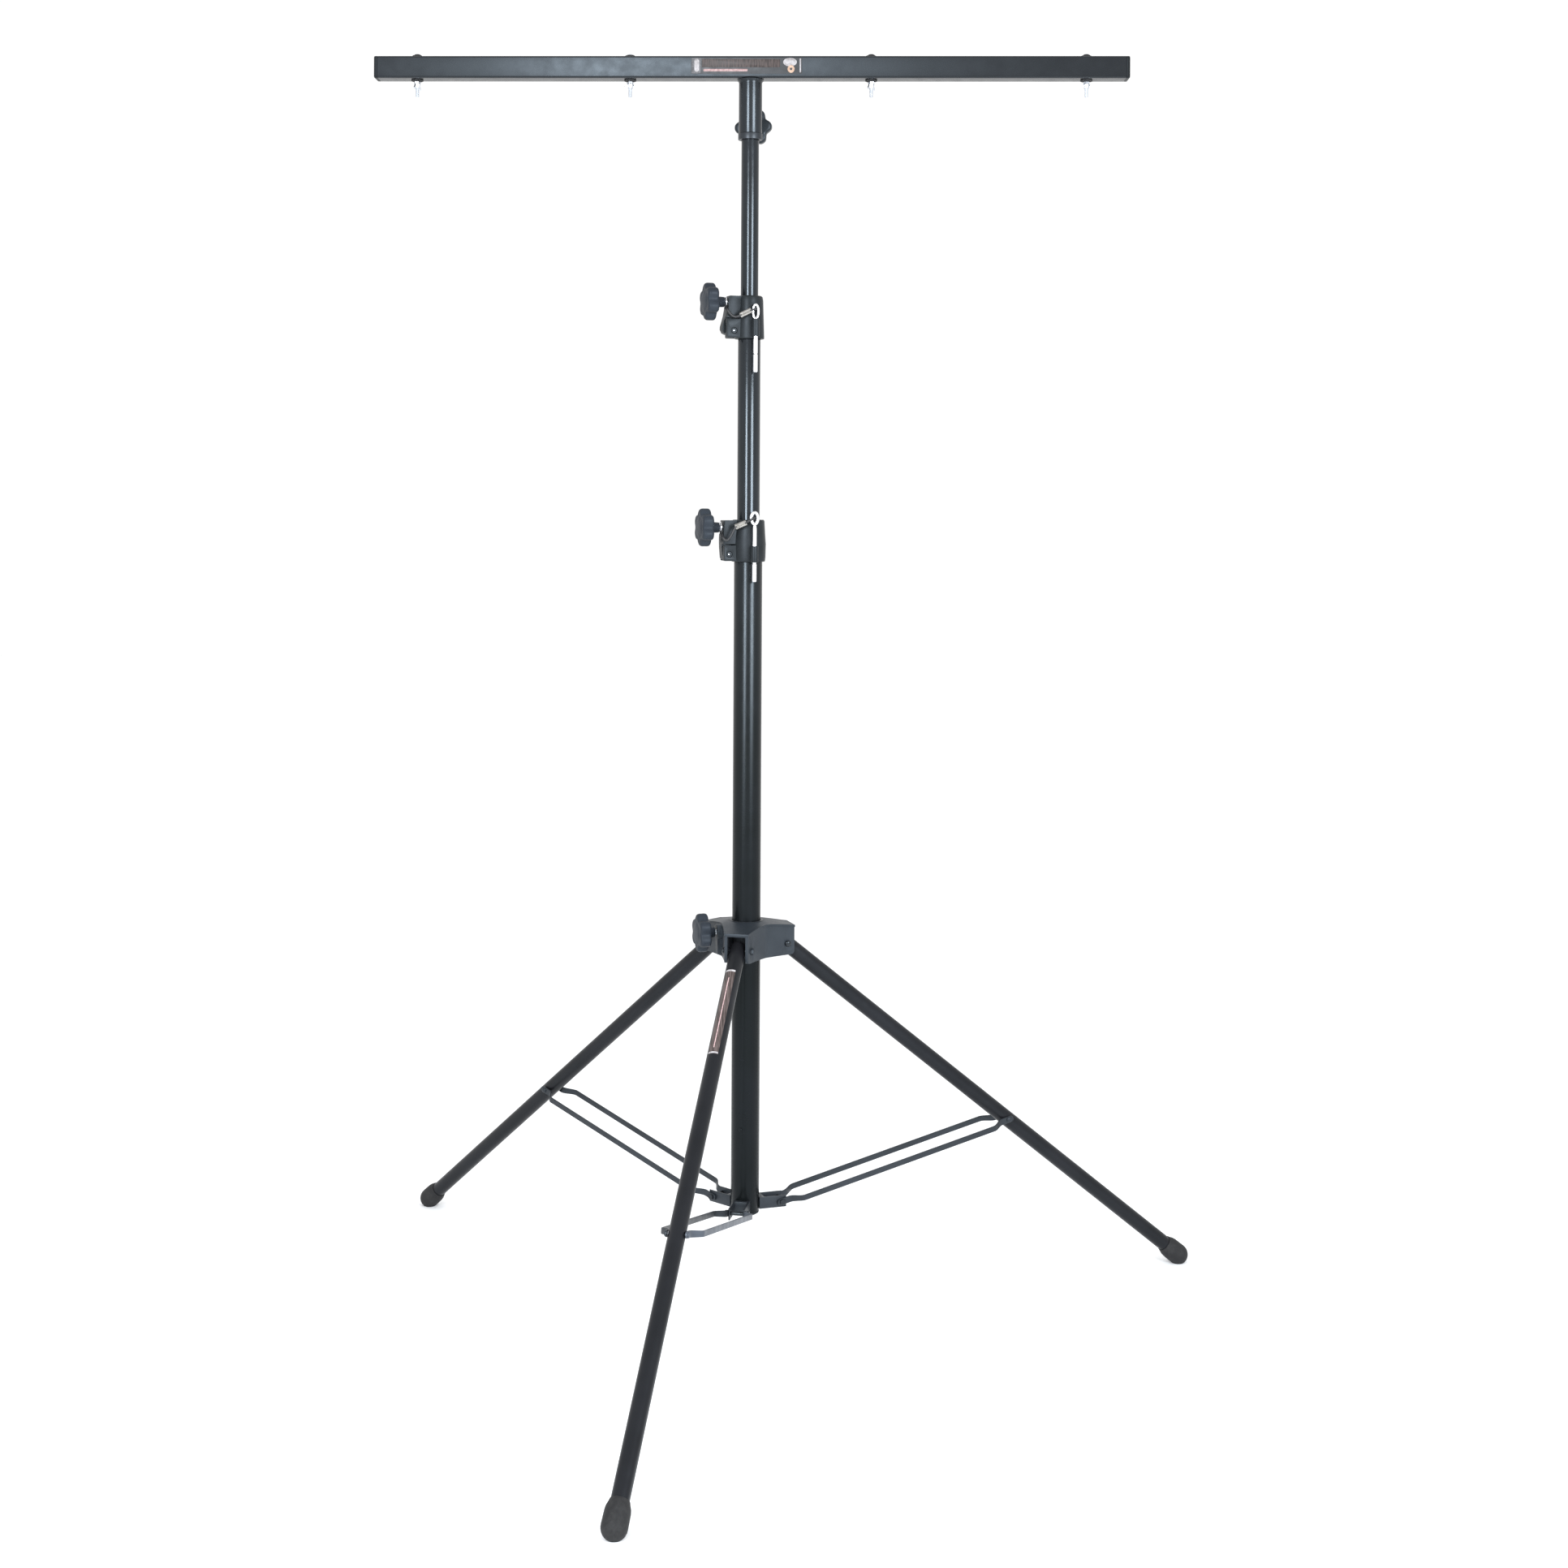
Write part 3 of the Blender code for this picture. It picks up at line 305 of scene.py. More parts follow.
def cord_mat():
    """Plastic-sheathed cord with a faint lay twisting round it."""
    mat, nt, bsdf = new_mat("cord_sheath")
    w = nt.nodes.new("ShaderNodeTexWave")
    w.inputs["Scale"].default_value = 220.0
    w.inputs["Distortion"].default_value = 2.0
    tc = nt.nodes.new("ShaderNodeTexCoord")
    nt.links.new(tc.outputs["Object"], w.inputs["Vector"])
    col = mix_rgb(nt, w.outputs["Fac"], (0.008, 0.008, 0.009), (0.022, 0.022, 0.024))
    nt.links.new(col, bsdf.inputs["Base Color"])
    bsdf.inputs["Roughness"].default_value = 0.45
    bump(nt, bsdf, w.outputs["Fac"], 0.4, 0.0003)
    return mat


M_BLACK = coat_metal("coat_black", (0.006, 0.007, 0.008), (0.009, 0.010, 0.012), 0.18, 0.26)
M_SLIDE = coat_metal("coat_black_sliding", (0.006, 0.007, 0.008), (0.009, 0.010, 0.012),
                     0.13, 0.19, 0.06, (700.0, 700.0, 6.0), (0.014, 0.015, 0.017))
# mast copy of the coat whose gloss fades towards the bottom: painted shade
M_MAIN = coat_metal("coat_black_mast", (0.004, 0.005, 0.005), (0.006, 0.007, 0.008),
                    0.22, 0.28, 0.06, level=0.30, painted_shade_fade=(0.55, 1.10, 0.12))
M_LEG = coat_metal("coat_black_leg", (0.006, 0.006, 0.007), (0.010, 0.010, 0.012),
                   0.28, 0.38, 0.10, level=0.20)
M_BAR = coat_metal("coat_slate_bar", (0.007, 0.008, 0.010), (0.011, 0.012, 0.015),
                   0.22, 0.30, 0.08, level=0.42)
M_BRACE = coat_metal("coat_black_brace", (0.013, 0.015, 0.018), (0.021, 0.024, 0.029),
                     0.32, 0.44, 0.2, level=0.34)
# lighter copy of the brace coat: painted light on the lit top face of one brace bar
M_BRACE_PAINTED_LIT = coat_metal("coat_brace_painted_lit", (0.046, 0.053, 0.066), (0.062, 0.070, 0.086),
                    0.34, 0.46, 0.2)
M_SLATE = moulded("plastic_slate", (0.015, 0.018, 0.024), (0.021, 0.026, 0.033), 0.42, 0.54,
                  level=0.20)
M_HUB = moulded("plastic_hub", (0.016, 0.020, 0.025), (0.023, 0.028, 0.034), 0.36, 0.48,
                level=0.30)
M_DARK = moulded("plastic_dark", (0.009, 0.011, 0.012), (0.014, 0.016, 0.018), 0.34, 0.46,
                 level=0.22)
M_SPOT = moulded("plastic_knob_black", (0.010, 0.013, 0.016), (0.016, 0.020, 0.024), 0.30,
                 0.42, level=0.30)
M_NYLON = moulded("nylon_black", (0.010, 0.011, 0.013), (0.015, 0.017, 0.020), 0.30, 0.40)
M_ZINC = bare_metal("zinc_plate", (0.62, 0.66, 0.72), (0.80, 0.83, 0.87), 0.22, 0.36)
M_STEEL = bare_metal("steel_bright", (0.86, 0.87, 0.90), (0.95, 0.96, 0.98), 0.10, 0.18,
                     (1, 1, 0.05), 300.0, 0.05)
M_FERRULE = bare_metal("ferrule_tin", (0.26, 0.25, 0.235), (0.46, 0.445, 0.42), 0.26, 0.44)
M_RUBBER = rubber_mat()
M_CORD = cord_mat()


# ------------------------------------------------------------ mesh tools
def loft(rings, closed=False):
    bm = bmesh.new()
    rows = [[bm.verts.new(p) for p in ring] for ring in rings]
    count = max(len(r) for r in rows)
    pairs = list(zip(rows[:-1], rows[1:]))
    if closed:
        pairs.append((rows[-1], rows[0]))
    for a, b in pairs:
        for i in range(count):
            j = (i + 1) % count
            if len(a) == 1:
                bm.faces.new((a[0], b[j], b[i]))
            elif len(b) == 1:
                bm.faces.new((a[i], a[j], b[0]))
            else:
                bm.faces.new((a[i], a[j], b[j], b[i]))
    if not closed:
        if len(rows[0]) > 1:
            bm.faces.new(list(reversed(rows[0])))
        if len(rows[-1]) > 1:
            bm.faces.new(rows[-1])
    bmesh.ops.recalc_face_normals(bm, faces=bm.faces)
    return bm


def circle(r, z, seg):
    return [Vector((r * math.cos(2 * math.pi * i / seg),
                    r * math.sin(2 * math.pi * i / seg), z)) for i in range(seg)]


def lathe(profile, seg=SEG, closed=False):
    rings = []
    for r, z in profile:
        rings.append([Vector((0, 0, z))] if r < 1e-9 else circle(r, z, seg))
    return loft(rings, closed)


def fillet(profile, radius, steps=3, closed=False):
    """Round the corners of a profile of (r, z) points."""
    n = len(profile)
    out = []
    for i in range(n):
        if not closed and i in (0, n - 1):
            out.append(profile[i])
            continue
        p0, p, p1 = (Vector(profile[i - 1]), Vector(profile[i]),
                     Vector(profile[(i + 1) % n]))
        a, b = p0 - p, p1 - p
        la, lb = a.length, b.length
        if la < 1e-9 or lb < 1e-9:
            out.append(tuple(p))
            continue
        a, b = a / la, b / lb
        ang = a.angle(b)
        if ang > math.radians(168):
            out.append(tuple(p))
            continue
        r = radius[i] if isinstance(radius, (list, tuple)) else radius
        t = min(r / math.tan(ang / 2), la * 0.42, lb * 0.42)
        q0, q1 = p + a * t, p + b * t
        for k in range(steps + 1):
            u = k / steps
            q = q0 * (1 - u) ** 2 + p * (2 * u * (1 - u)) + q1 * u * u
            out.append((q.x, q.y))
    return out


def moved(bm, mat):
    bmesh.ops.transform(bm, matrix=mat, verts=bm.verts)
    bmesh.ops.recalc_face_normals(bm, faces=bm.faces)
    return bm


def radial(az_deg):
    return Matrix.Rotation(math.radians(az_deg), 4, "Z")


def along(origin, direction):
    q = Vector((0, 0, 1)).rotation_difference(Vector(direction).normalized())
    return Matrix.Translation(Vector(origin)) @ q.to_matrix().to_4x4()


def prism(points, a, b, put):
    return loft([[put(u, v, a) for u, v in points], [put(u, v, b) for u, v in points]])


def box(x0, x1, y0, y1, z0, z1):
    return prism([(x0, y0), (x1, y0), (x1, y1), (x0, y1)], z0, z1,
                 lambda u, v, w: Vector((u, v, w)))


def sector(points, t0, t1):
    return prism(points, t0, t1, lambda u, v, w: Vector((u, w, v)))


def rod(r, a, b, seg=32):
    a, b = Vector(a), Vector(b)
    return moved(lathe([(0, 0), (r, 0), (r, (b - a).length), (0, (b - a).length)], seg),
                 along(a, b - a))


def sweep(points, radii, seg=16, up=Vector((0, 0, 1)), closed=False, flat=None):
    pts = [Vector(p) for p in points]
    n = len(pts)
    rings, side = [], None
    for i, p in enumerate(pts):
        if closed:
            tan = (pts[(i + 1) % n] - pts[i - 1]).normalized()
        else:
            tan = (pts[min(i + 1, n - 1)] - pts[max(i - 1, 0)]).normalized()
        if side is None:
            side = tan.cross(up).normalized()
        else:
            side = (side - tan * side.dot(tan)).normalized()
        top = tan.cross(side).normalized()
        r = radii[i] if isinstance(radii, (list, tuple)) else radii
        rs, rt = r if isinstance(r, (list, tuple)) else (r, r)
        rings.append([p + side * (rs * math.cos(2 * math.pi * k / seg))
                      + top * (rt * math.sin(2 * math.pi * k / seg))
                      for k in range(seg)])
    return loft(rings, closed)


def catmull(points, steps):
    pts = [Vector(p) for p in points]
    out = []
    for i in range(len(pts) - 1):
        p0, p1, p2 = pts[max(i - 1, 0)], pts[i], pts[i + 1]
        p3 = pts[min(i + 2, len(pts) - 1)]
        for k in range(steps):
            t = k / steps
            out.append(0.5 * ((2 * p1) + (p2 - p0) * t
                              + (2 * p0 - 5 * p1 + 4 * p2 - p3) * t * t
                              + (3 * p1 - p0 - 3 * p2 + p3) * t ** 3))
    out.append(pts[-1])
    return out


def raw(bm, name):
    mesh = bpy.data.meshes.new(name)
    bmesh.ops.recalc_face_normals(bm, faces=bm.faces)
    bm.to_mesh(mesh)
    bm.free()
    ob = bpy.data.objects.new(name, mesh)
    scene.collection.objects.link(ob)
    return ob


def boolean(ob, bm, op):
    tool = raw(bm, ob.name + "_tool")
    mod = ob.modifiers.new("cut", "BOOLEAN")
    mod.operation = op
    mod.solver = "EXACT"
    mod.object = tool
    bpy.context.view_layer.update()
    graph = bpy.context.evaluated_depsgraph_get()
    mesh = bpy.data.meshes.new_from_object(ob.evaluated_get(graph))
    ob.modifiers.clear()
    old = ob.data
    ob.data = mesh
    mesh.name = ob.name
    bpy.data.meshes.remove(old)
    data = tool.data
    bpy.data.objects.remove(tool, do_unlink=True)
    bpy.data.meshes.remove(data)
    return ob


def tidy(ob):
    bm = bmesh.new()
    bm.from_mesh(ob.data)
    bmesh.ops.remove_doubles(bm, verts=bm.verts, dist=2e-6)
    bmesh.ops.dissolve_degenerate(bm, dist=1e-6, edges=bm.edges)
    rim = [e for e in bm.edges if len(e.link_faces) == 1]
    if rim:
        bmesh.ops.holes_fill(bm, edges=rim, sides=6)
    bmesh.ops.recalc_face_normals(bm, faces=bm.faces)
    bm.to_mesh(ob.data)
    bm.free()


def bake(ob, width=0.0, segments=2, angle=35.0):
    """Bevel the hard edges of a Boolean result and keep it as plain mesh."""
    tidy(ob)
    if width > 0:
        mod = ob.modifiers.new("bevel", "BEVEL")
        mod.width = width
        mod.segments = segments
        mod.limit_method = "ANGLE"
        mod.angle_limit = math.radians(angle)
        mod.use_clamp_overlap = True
        bpy.context.view_layer.update()
        graph = bpy.context.evaluated_depsgraph_get()
        mesh = bpy.data.meshes.new_from_object(ob.evaluated_get(graph))
        ob.modifiers.clear()
        old = ob.data
        ob.data = mesh
        mesh.name = ob.name
        bpy.data.meshes.remove(old)
        tidy(ob)


def piece(ob, mat, body, node=None, smooth=38.0, shift=True, rides=True):
    """Finish a piece: move it to the mast, smooth it, paint it, and ride it."""
    if not isinstance(ob, bpy.types.Object):
        ob = raw(ob[0], ob[1])
    if shift:
        ob.data.transform(SHIFT)
    for p in ob.data.polygons:
        p.use_smooth = True
    ob.data.set_sharp_from_angle(angle=math.radians(smooth))
    ob.data.materials.clear()
    ob.data.materials.append(mat)
    if rides:
        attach(ob, body)
    if node:
        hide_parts(node)
    return ob


# ------------------------------------------------------------ tubes
def tubes():
    ob = raw(lathe(fillet([(MAIN_RI, MAIN_Z0), (MAIN_R, MAIN_Z0), (MAIN_R, MAIN_Z1),
                           (MAIN_RI, MAIN_Z1)], 0.0005, 2, True), 96, True), "mast_tube")
    rot = radial(-108.1)
    boolean(ob, moved(rod(0.0017, (0.010, 0, 0.296), (0.030, 0, 0.296), 24), rot),
            "DIFFERENCE")
    tidy(ob)
    piece(ob, M_MAIN, "mast", "main_tube")
    plug = lathe(fillet([(0, 0.1585), (0.0185, 0.1585), (0.0225, 0.1610),
                         (0.0225, MAIN_Z0 - GAP), (MAIN_RI - 0.0001, MAIN_Z0 - GAP),
                         (MAIN_RI - 0.0001, 0.1850), (0.0180, 0.1850),
                         (0.0180, 0.1665), (0, 0.1665)], 0.0012, 4), 96)
    piece((plug, "mast_foot_plug"), M_DARK, "mast", "mast_plug")
    riv = lathe([(0, 0), (0.0015, 0), (0.0015, 0.0027), (0.0030, 0.0027),
                 (0.0030, 0.0031), (0.0027, 0.0037), (0.0020, 0.0042),
                 (0.0011, 0.0045), (0, 0.0045)], 24)
    moved(riv, rot @ along((MAIN_R - 0.0024, 0, 0.296), (1, 0, 0)))
    piece((riv, "mast_stop_rivet"), M_MAIN, "mast", "stop_rivet")
    piece((lathe(fillet([(MID_RI, MID_Z0), (MID_R, MID_Z0), (MID_R, MID_Z1),
                         (MID_RI, MID_Z1)], 0.0005, 2, True), 96, True),
           "middle_tube"), M_SLIDE, "mid", "mid_tube")
    piece((lathe(fillet([(TOP_RI, TOP_Z0), (TOP_R, TOP_Z0), (TOP_R, TOP_Z1 - 0.0015),
                         (TOP_R - 0.0007, TOP_Z1), (TOP_RI, TOP_Z1)], 0.0004, 2, True),
                 96, True), "upper_tube"), M_SLIDE, "top", "top_tube")
    for name, body, ro, rt, rl, z0 in (
            ("mid_bush", "mid", MAIN_RI - 0.0001, MID_R, 0.0150, MID_Z0),
            ("top_bush", "top", MID_RI - 0.0001, TOP_R, 0.0115, TOP_Z0)):
        bm = lathe(fillet([(rl, z0 - 0.0040), (ro, z0 - 0.0040), (ro, z0 + 0.0350),
                           (rt + 0.0001, z0 + 0.0350), (rt + 0.0001, z0 - GAP),
                           (rl, z0 - GAP)], 0.0006, 2, True), 96, True)
        piece((bm, name + "_ring"), M_NYLON, body, name)


# ------------------------------------------------------------ knobs
def knob(name, body, az, z, tip, ring, disc, turn, thick=0.0190):
    count = 216

    def outline(scale, soft=1.0):
        pts = []
        for i in range(count):
            a = 2 * math.pi * i / count
            c = 0.5 - 0.5 * math.cos(6 * (a - math.radians(turn)))
            r = (KNOB_R - KNOB_DEEP * c ** 1.4 * soft) * scale
            pts.append((r * math.cos(a), r * math.sin(a)))
        return pts

    def disk(r):
        return [(r * math.cos(2 * math.pi * i / count),
                 r * math.sin(2 * math.pi * i / count)) for i in range(count)]

    t = thick
    st = [(ring + 0.0002, disk(0.0045)), (ring, disk(0.0050)), (ring, disk(0.0076)),
          (ring + 0.0003, disk(0.0080)), (disc - 0.0016, disk(0.0088)),
          (disc - 0.0006, disk(0.0096)), (disc + 0.0002, outline(0.50, 0.5)),
          (disc + 0.0006, outline(0.80, 0.9)), (disc + 0.0013, outline(0.92)),
          (disc + 0.0026, outline(0.975)), (disc + 0.0042, outline(0.995)),
          (disc + 0.0060, outline(1.0)), (disc + t - 0.0060, outline(1.0)),
          (disc + t - 0.0042, outline(0.992)), (disc + t - 0.0026, outline(0.970)),
          (disc + t - 0.0013, outline(0.93)), (disc + t - 0.0004, outline(0.86)),
          (disc + t + 0.0000, outline(0.78, 0.95)), (disc + t - 0.0004, outline(0.70, 0.9)),
          (disc + t - 0.0004, outline(0.60, 0.75)), (disc + t + 0.0004, outline(0.50, 0.55)),
          (disc + t + 0.0009, outline(0.36, 0.3)), (disc + t + 0.0012, disk(0.0060)),
          (disc + t + 0.0012, disk(0.0030))]
    rings = [[Vector((s, u, v + z)) for u, v in pts] for s, pts in st]
    ob = raw(moved(loft(rings), radial(az)), name + "_grip")
    piece(ob, M_SPOT if name == "socket_knob" else M_SLATE, body, name, smooth=50.0)
    # screw with a rolled thread
    prof = [(0, tip), (0.0030, tip), (0.0040, tip + 0.0010)]
    s = tip + 0.0016
    while s < ring - 0.0018:
        prof += [(0.0034, s), (0.0040, s + 0.00055)]
        s += 0.00125
    prof += [(0.0040, ring - 0.0006), (0.0040, ring + 0.0020), (0, ring + 0.0020)]
    scr = moved(lathe(prof, 32), radial(az) @ Matrix.Translation((0, 0, z))
                @ along((0, 0, 0), (1, 0, 0)))
    piece((scr, name + "_screw"), M_ZINC, body)


# ------------------------------------------------------------ collars
def collar(prefix, body, profile, cheek_s, cheek_z, bolt, knob_z, pin_az, pin_rad,
           hold_z, flap_hi, flap_lo, tube_r, back):
    rot = radial(KNOB_AZ)
    inner = max(p[0] for p in profile[-2:])
    z_lo, z_hi = profile[0][1], max(p[1] for p in profile)
    step = profile[-1][1]
    ob = raw(lathe(fillet(profile, 0.0022, 4, True), 120, True), prefix + "_clamp_body")
    for t0, t1, end in ((0.0030, 0.0130, cheek_s), (-0.0160, -0.0123, cheek_s - back)):
        c = 0.0016
        cheek = sector([(0.0100, cheek_z[0]), (end - c, cheek_z[0]),
                        (end - 0.3 * c, cheek_z[0] + 0.3 * c),
                        (end, cheek_z[0] + c), (end, cheek_z[1] - c),
                        (end - 0.3 * c, cheek_z[1] - 0.3 * c),
                        (end - c, cheek_z[1]), (0.0100, cheek_z[1])], t0, t1)
        boolean(ob, moved(cheek, rot), "UNION")
    pin = radial(pin_az) @ Matrix.Translation((pin_rad, 0, 0))
    holder = lathe(fillet([(0, hold_z[0]), (0.0062, hold_z[0]), (0.0062, hold_z[1]),
                           (0, hold_z[1])], 0.0010, 4), 48)
    boolean(ob, moved(holder, pin), "UNION")
    web = box(-0.0090, -0.0042, -0.0041, 0.0041, hold_z[0] + 0.0012, hold_z[1] - 0.0012)
    boolean(ob, moved(web, pin), "UNION")
    boolean(ob, moved(lathe([(0, hold_z[0] - 0.01), (0.0037, hold_z[0] - 0.01),
                             (0.0037, 1.7), (0, 1.7)], 48), pin), "DIFFERENCE")
    boolean(ob, lathe([(0, z_lo - 0.01), (inner, z_lo - 0.01), (inner, step),
                       (tube_r, step), (tube_r, z_hi + 0.01), (0, z_hi + 0.01)], 120),
            "DIFFERENCE")
    screw = Matrix.Translation((0, 0, knob_z))
    boolean(ob, moved(rod(0.0043, (0.010, 0, 0), (0.060, 0, 0), 40), rot @ screw),
            "DIFFERENCE")
    s, z = bolt
    boolean(ob, moved(rod(0.0031, (s, -0.020, z), (s, 0.0090, z), 32), rot), "DIFFERENCE")
    boolean(ob, moved(rod(0.0050, (s, 0.0089, z), (s, 0.0140, z), 48), rot), "DIFFERENCE")
    bake(ob, 0.00045, 2, 40.0)
    piece(ob, M_DARK, body, prefix + "_collar", smooth=32.0)
    flap = raw(moved(sector(flap_hi, -0.0120, 0.0127), rot), prefix + "_clamp_flap")
    boolean(flap, moved(sector(flap_lo, -0.0120, 0.0027), rot), "UNION")
    outer = [(r + 0.0004, zz) for r, zz in profile if r > inner + 0.0004]
    outer = [(0, z_lo - 0.01), (outer[0][0], z_lo - 0.01)] + outer + \
            [(outer[-1][0], z_hi + 0.01), (0, z_hi + 0.01)]
    boolean(flap, lathe(outer, 120), "DIFFERENCE")
    boolean(flap, moved(rod(0.0043, (0.010, 0, 0), (0.060, 0, 0), 40), rot @ screw),
            "DIFFERENCE")
    boolean(flap, moved(rod(0.0031, (s, -0.020, z), (s, 0.020, z), 32), rot), "DIFFERENCE")
    bake(flap, 0.0008, 3, 30.0)
    piece(flap, M_DARK, body, prefix + "_flap", smooth=32.0)
    # socket head bolt with its hexagon, nut at the back
    head = raw(moved(lathe(fillet([(0, 0.0003), (0.0028, 0.0003), (0.0028, 0.0292),
                                   (0.0045, 0.0292), (0.0045, 0.0322), (0, 0.0322)],
                                  0.0004, 3), 48), rot @ along((s, -0.0198, z), (0, 1, 0))),
               prefix + "_hinge_bolt")
    hexa = [Vector((0.0024 * math.cos(math.radians(60 * k + 12)),
                    0.0024 * math.sin(math.radians(60 * k + 12)), 0)) for k in range(6)]
    tool = loft([[p + Vector((0, 0, 0.0300)) for p in hexa],
                 [p + Vector((0, 0, 0.0340)) for p in hexa]])
    boolean(head, moved(tool, rot @ along((s, -0.0198, z), (0, 1, 0))), "DIFFERENCE")
    tidy(head)
    piece(head, M_DARK, body, prefix + "_flap_bolt")
    core = lathe([(0, 0.0297), (0.0013, 0.0297), (0.0013, 0.0302), (0.0009, 0.0306),
                  (0, 0.0307)], 32)
    piece((moved(core, rot @ along((s, -0.0198, z), (0, 1, 0))), prefix + "_hinge_core"),
          M_ZINC, body)
    nut = [Vector((0.0045 * math.cos(math.radians(60 * k)),
                   0.0045 * math.sin(math.radians(60 * k)), 0)) for k in range(6)]
    bm = loft([[p * 0.93 for p in nut], [p + Vector((0, 0, 0.0004)) for p in nut],
               [p + Vector((0, 0, 0.0034)) for p in nut]])
    piece((moved(bm, rot @ along((s, -0.0198, z), (0, 1, 0))), prefix + "_hinge_nut"),
          M_ZINC, body)


def safety_pin(prefix, az, rad, z0, eye_z, half_w, half_h, wire):
    base = radial(az) @ Vector((rad, 0, 0))
    zs = eye_z - half_h - wire - 0.0020
    g = z0 + 0.0290
    prof = fillet([(0, z0), (0.0026, z0), (PIN_R, z0 + 0.0014), (PIN_R, g - 0.0012),
                   (0.0029, g - 0.0006), (0.0029, g + 0.0006), (PIN_R, g + 0.0012),
                   (PIN_R, zs - 0.003), (0.0030, zs), (0.0024, zs + 0.0040),
                   (0, zs + 0.0040)], 0.0006, 3)
    ob = raw(moved(lathe(prof, 40), Matrix.Translation(base)), prefix + "_safety_pin")
    pts = []
    for i in range(56):
        a = 2 * math.pi * (i + 0.5) / 56
        pts.append(base + Vector((half_w * math.cos(a), 0, eye_z + half_h * math.sin(a))))
    boolean(ob, sweep(pts, wire, 20, Vector((0, 1, 0)), True), "UNION")
    tidy(ob)
    piece(ob, M_STEEL, "pin_" + prefix, prefix + "_pin", smooth=50.0)


def tether(prefix, body, ring_s, knob_z, cord, ferrule, tail):
    """Ring on the screw, sheathed cord, crimped ferrule and the stub in the eye."""
    rot = radial(KNOB_AZ)
    node = prefix + "_tether"
    ring = [rot @ Vector((ring_s, 0.0085 * math.cos(2 * math.pi * i / 64),
                          knob_z + 0.0085 * math.sin(2 * math.pi * i / 64)))
            for i in range(64)]
    piece((sweep(ring, 0.0012, 14, Vector((1, 0, 0)), True), prefix + "_tether_ring"),
          M_STEEL, body)
    start = rot @ Vector((ring_s, 0.0085 * math.cos(-0.9),
                          knob_z + 0.0085 * math.sin(-0.9)))
    fa, fb = Vector(ferrule[0]), Vector(ferrule[1])
    d = (fb - fa).normalized()
    pts = catmull([start] + cord + [ferrule[0]], 14)
    pts.append(fa + d * 0.0020)
    rad = [0.00200] * len(pts)
    rad[0], rad[1] = 0.0012, 0.0017
    cord_ob = piece((sweep(pts, rad, 20), prefix + "_tether_cord"), M_CORD, body,
                    node, rides=False)
    # twin-barrel crimp: a waist along it, square cut ends, tool marks
    side = d.cross(Vector((0, 1, 0))).normalized()
    deep = d.cross(side).normalized()
    length, n = (fb - fa).length, 48
    rings = []
    for i in range(n + 1):
        u = i / n
        edge = min(u, 1 - u) * length
        k = 1.0 if edge > 0.0006 else 0.93 + 0.07 * edge / 0.0006
        k -= 0.035 * (math.exp(-((u - 0.33) / 0.05) ** 2) + math.exp(-((u - 0.67) / 0.05) ** 2))
        ring = []
        for j in range(48):
            a = 2 * math.pi * j / 48
            w = 0.0044 * math.cos(a)
            h = 0.0026 * math.sin(a) * (1.0 - 0.72 * math.exp(-(w / 0.0010) ** 2))
            h *= 1.0 if abs(w) < 0.0018 else 1.12
            ring.append(fa + d * (length * u) + side * (w * k) + deep * (h * k))
        rings.append(ring)
    fer = piece((loft(rings), prefix + "_tether_ferrule"), M_FERRULE, body,
                rides=False)
    tl = catmull([fb - d * 0.0020] + tail, 12)
    tr = [0.0022] * 3 + [0.0018] * (len(tl) - 3)
    end = piece((sweep(tl, tr, 20), prefix + "_tether_stub"), M_CORD, body,
                rides=False)
    for ob in (cord_ob, fer, end):
        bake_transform(ob)


# ------------------------------------------------------------ T-bar
def rounded_square(half, corner, steps=8):
    pts = []
    for q in range(4):
        cx = (half - corner) * (1 if q in (0, 3) else -1)
        cz = (half - corner) * (1 if q in (0, 1) else -1)
        for k in range(steps + 1):
            a = math.pi / 2 * (q + k / steps)
            pts.append((cx + corner * math.cos(a), cz + corner * math.sin(a)))
    return pts


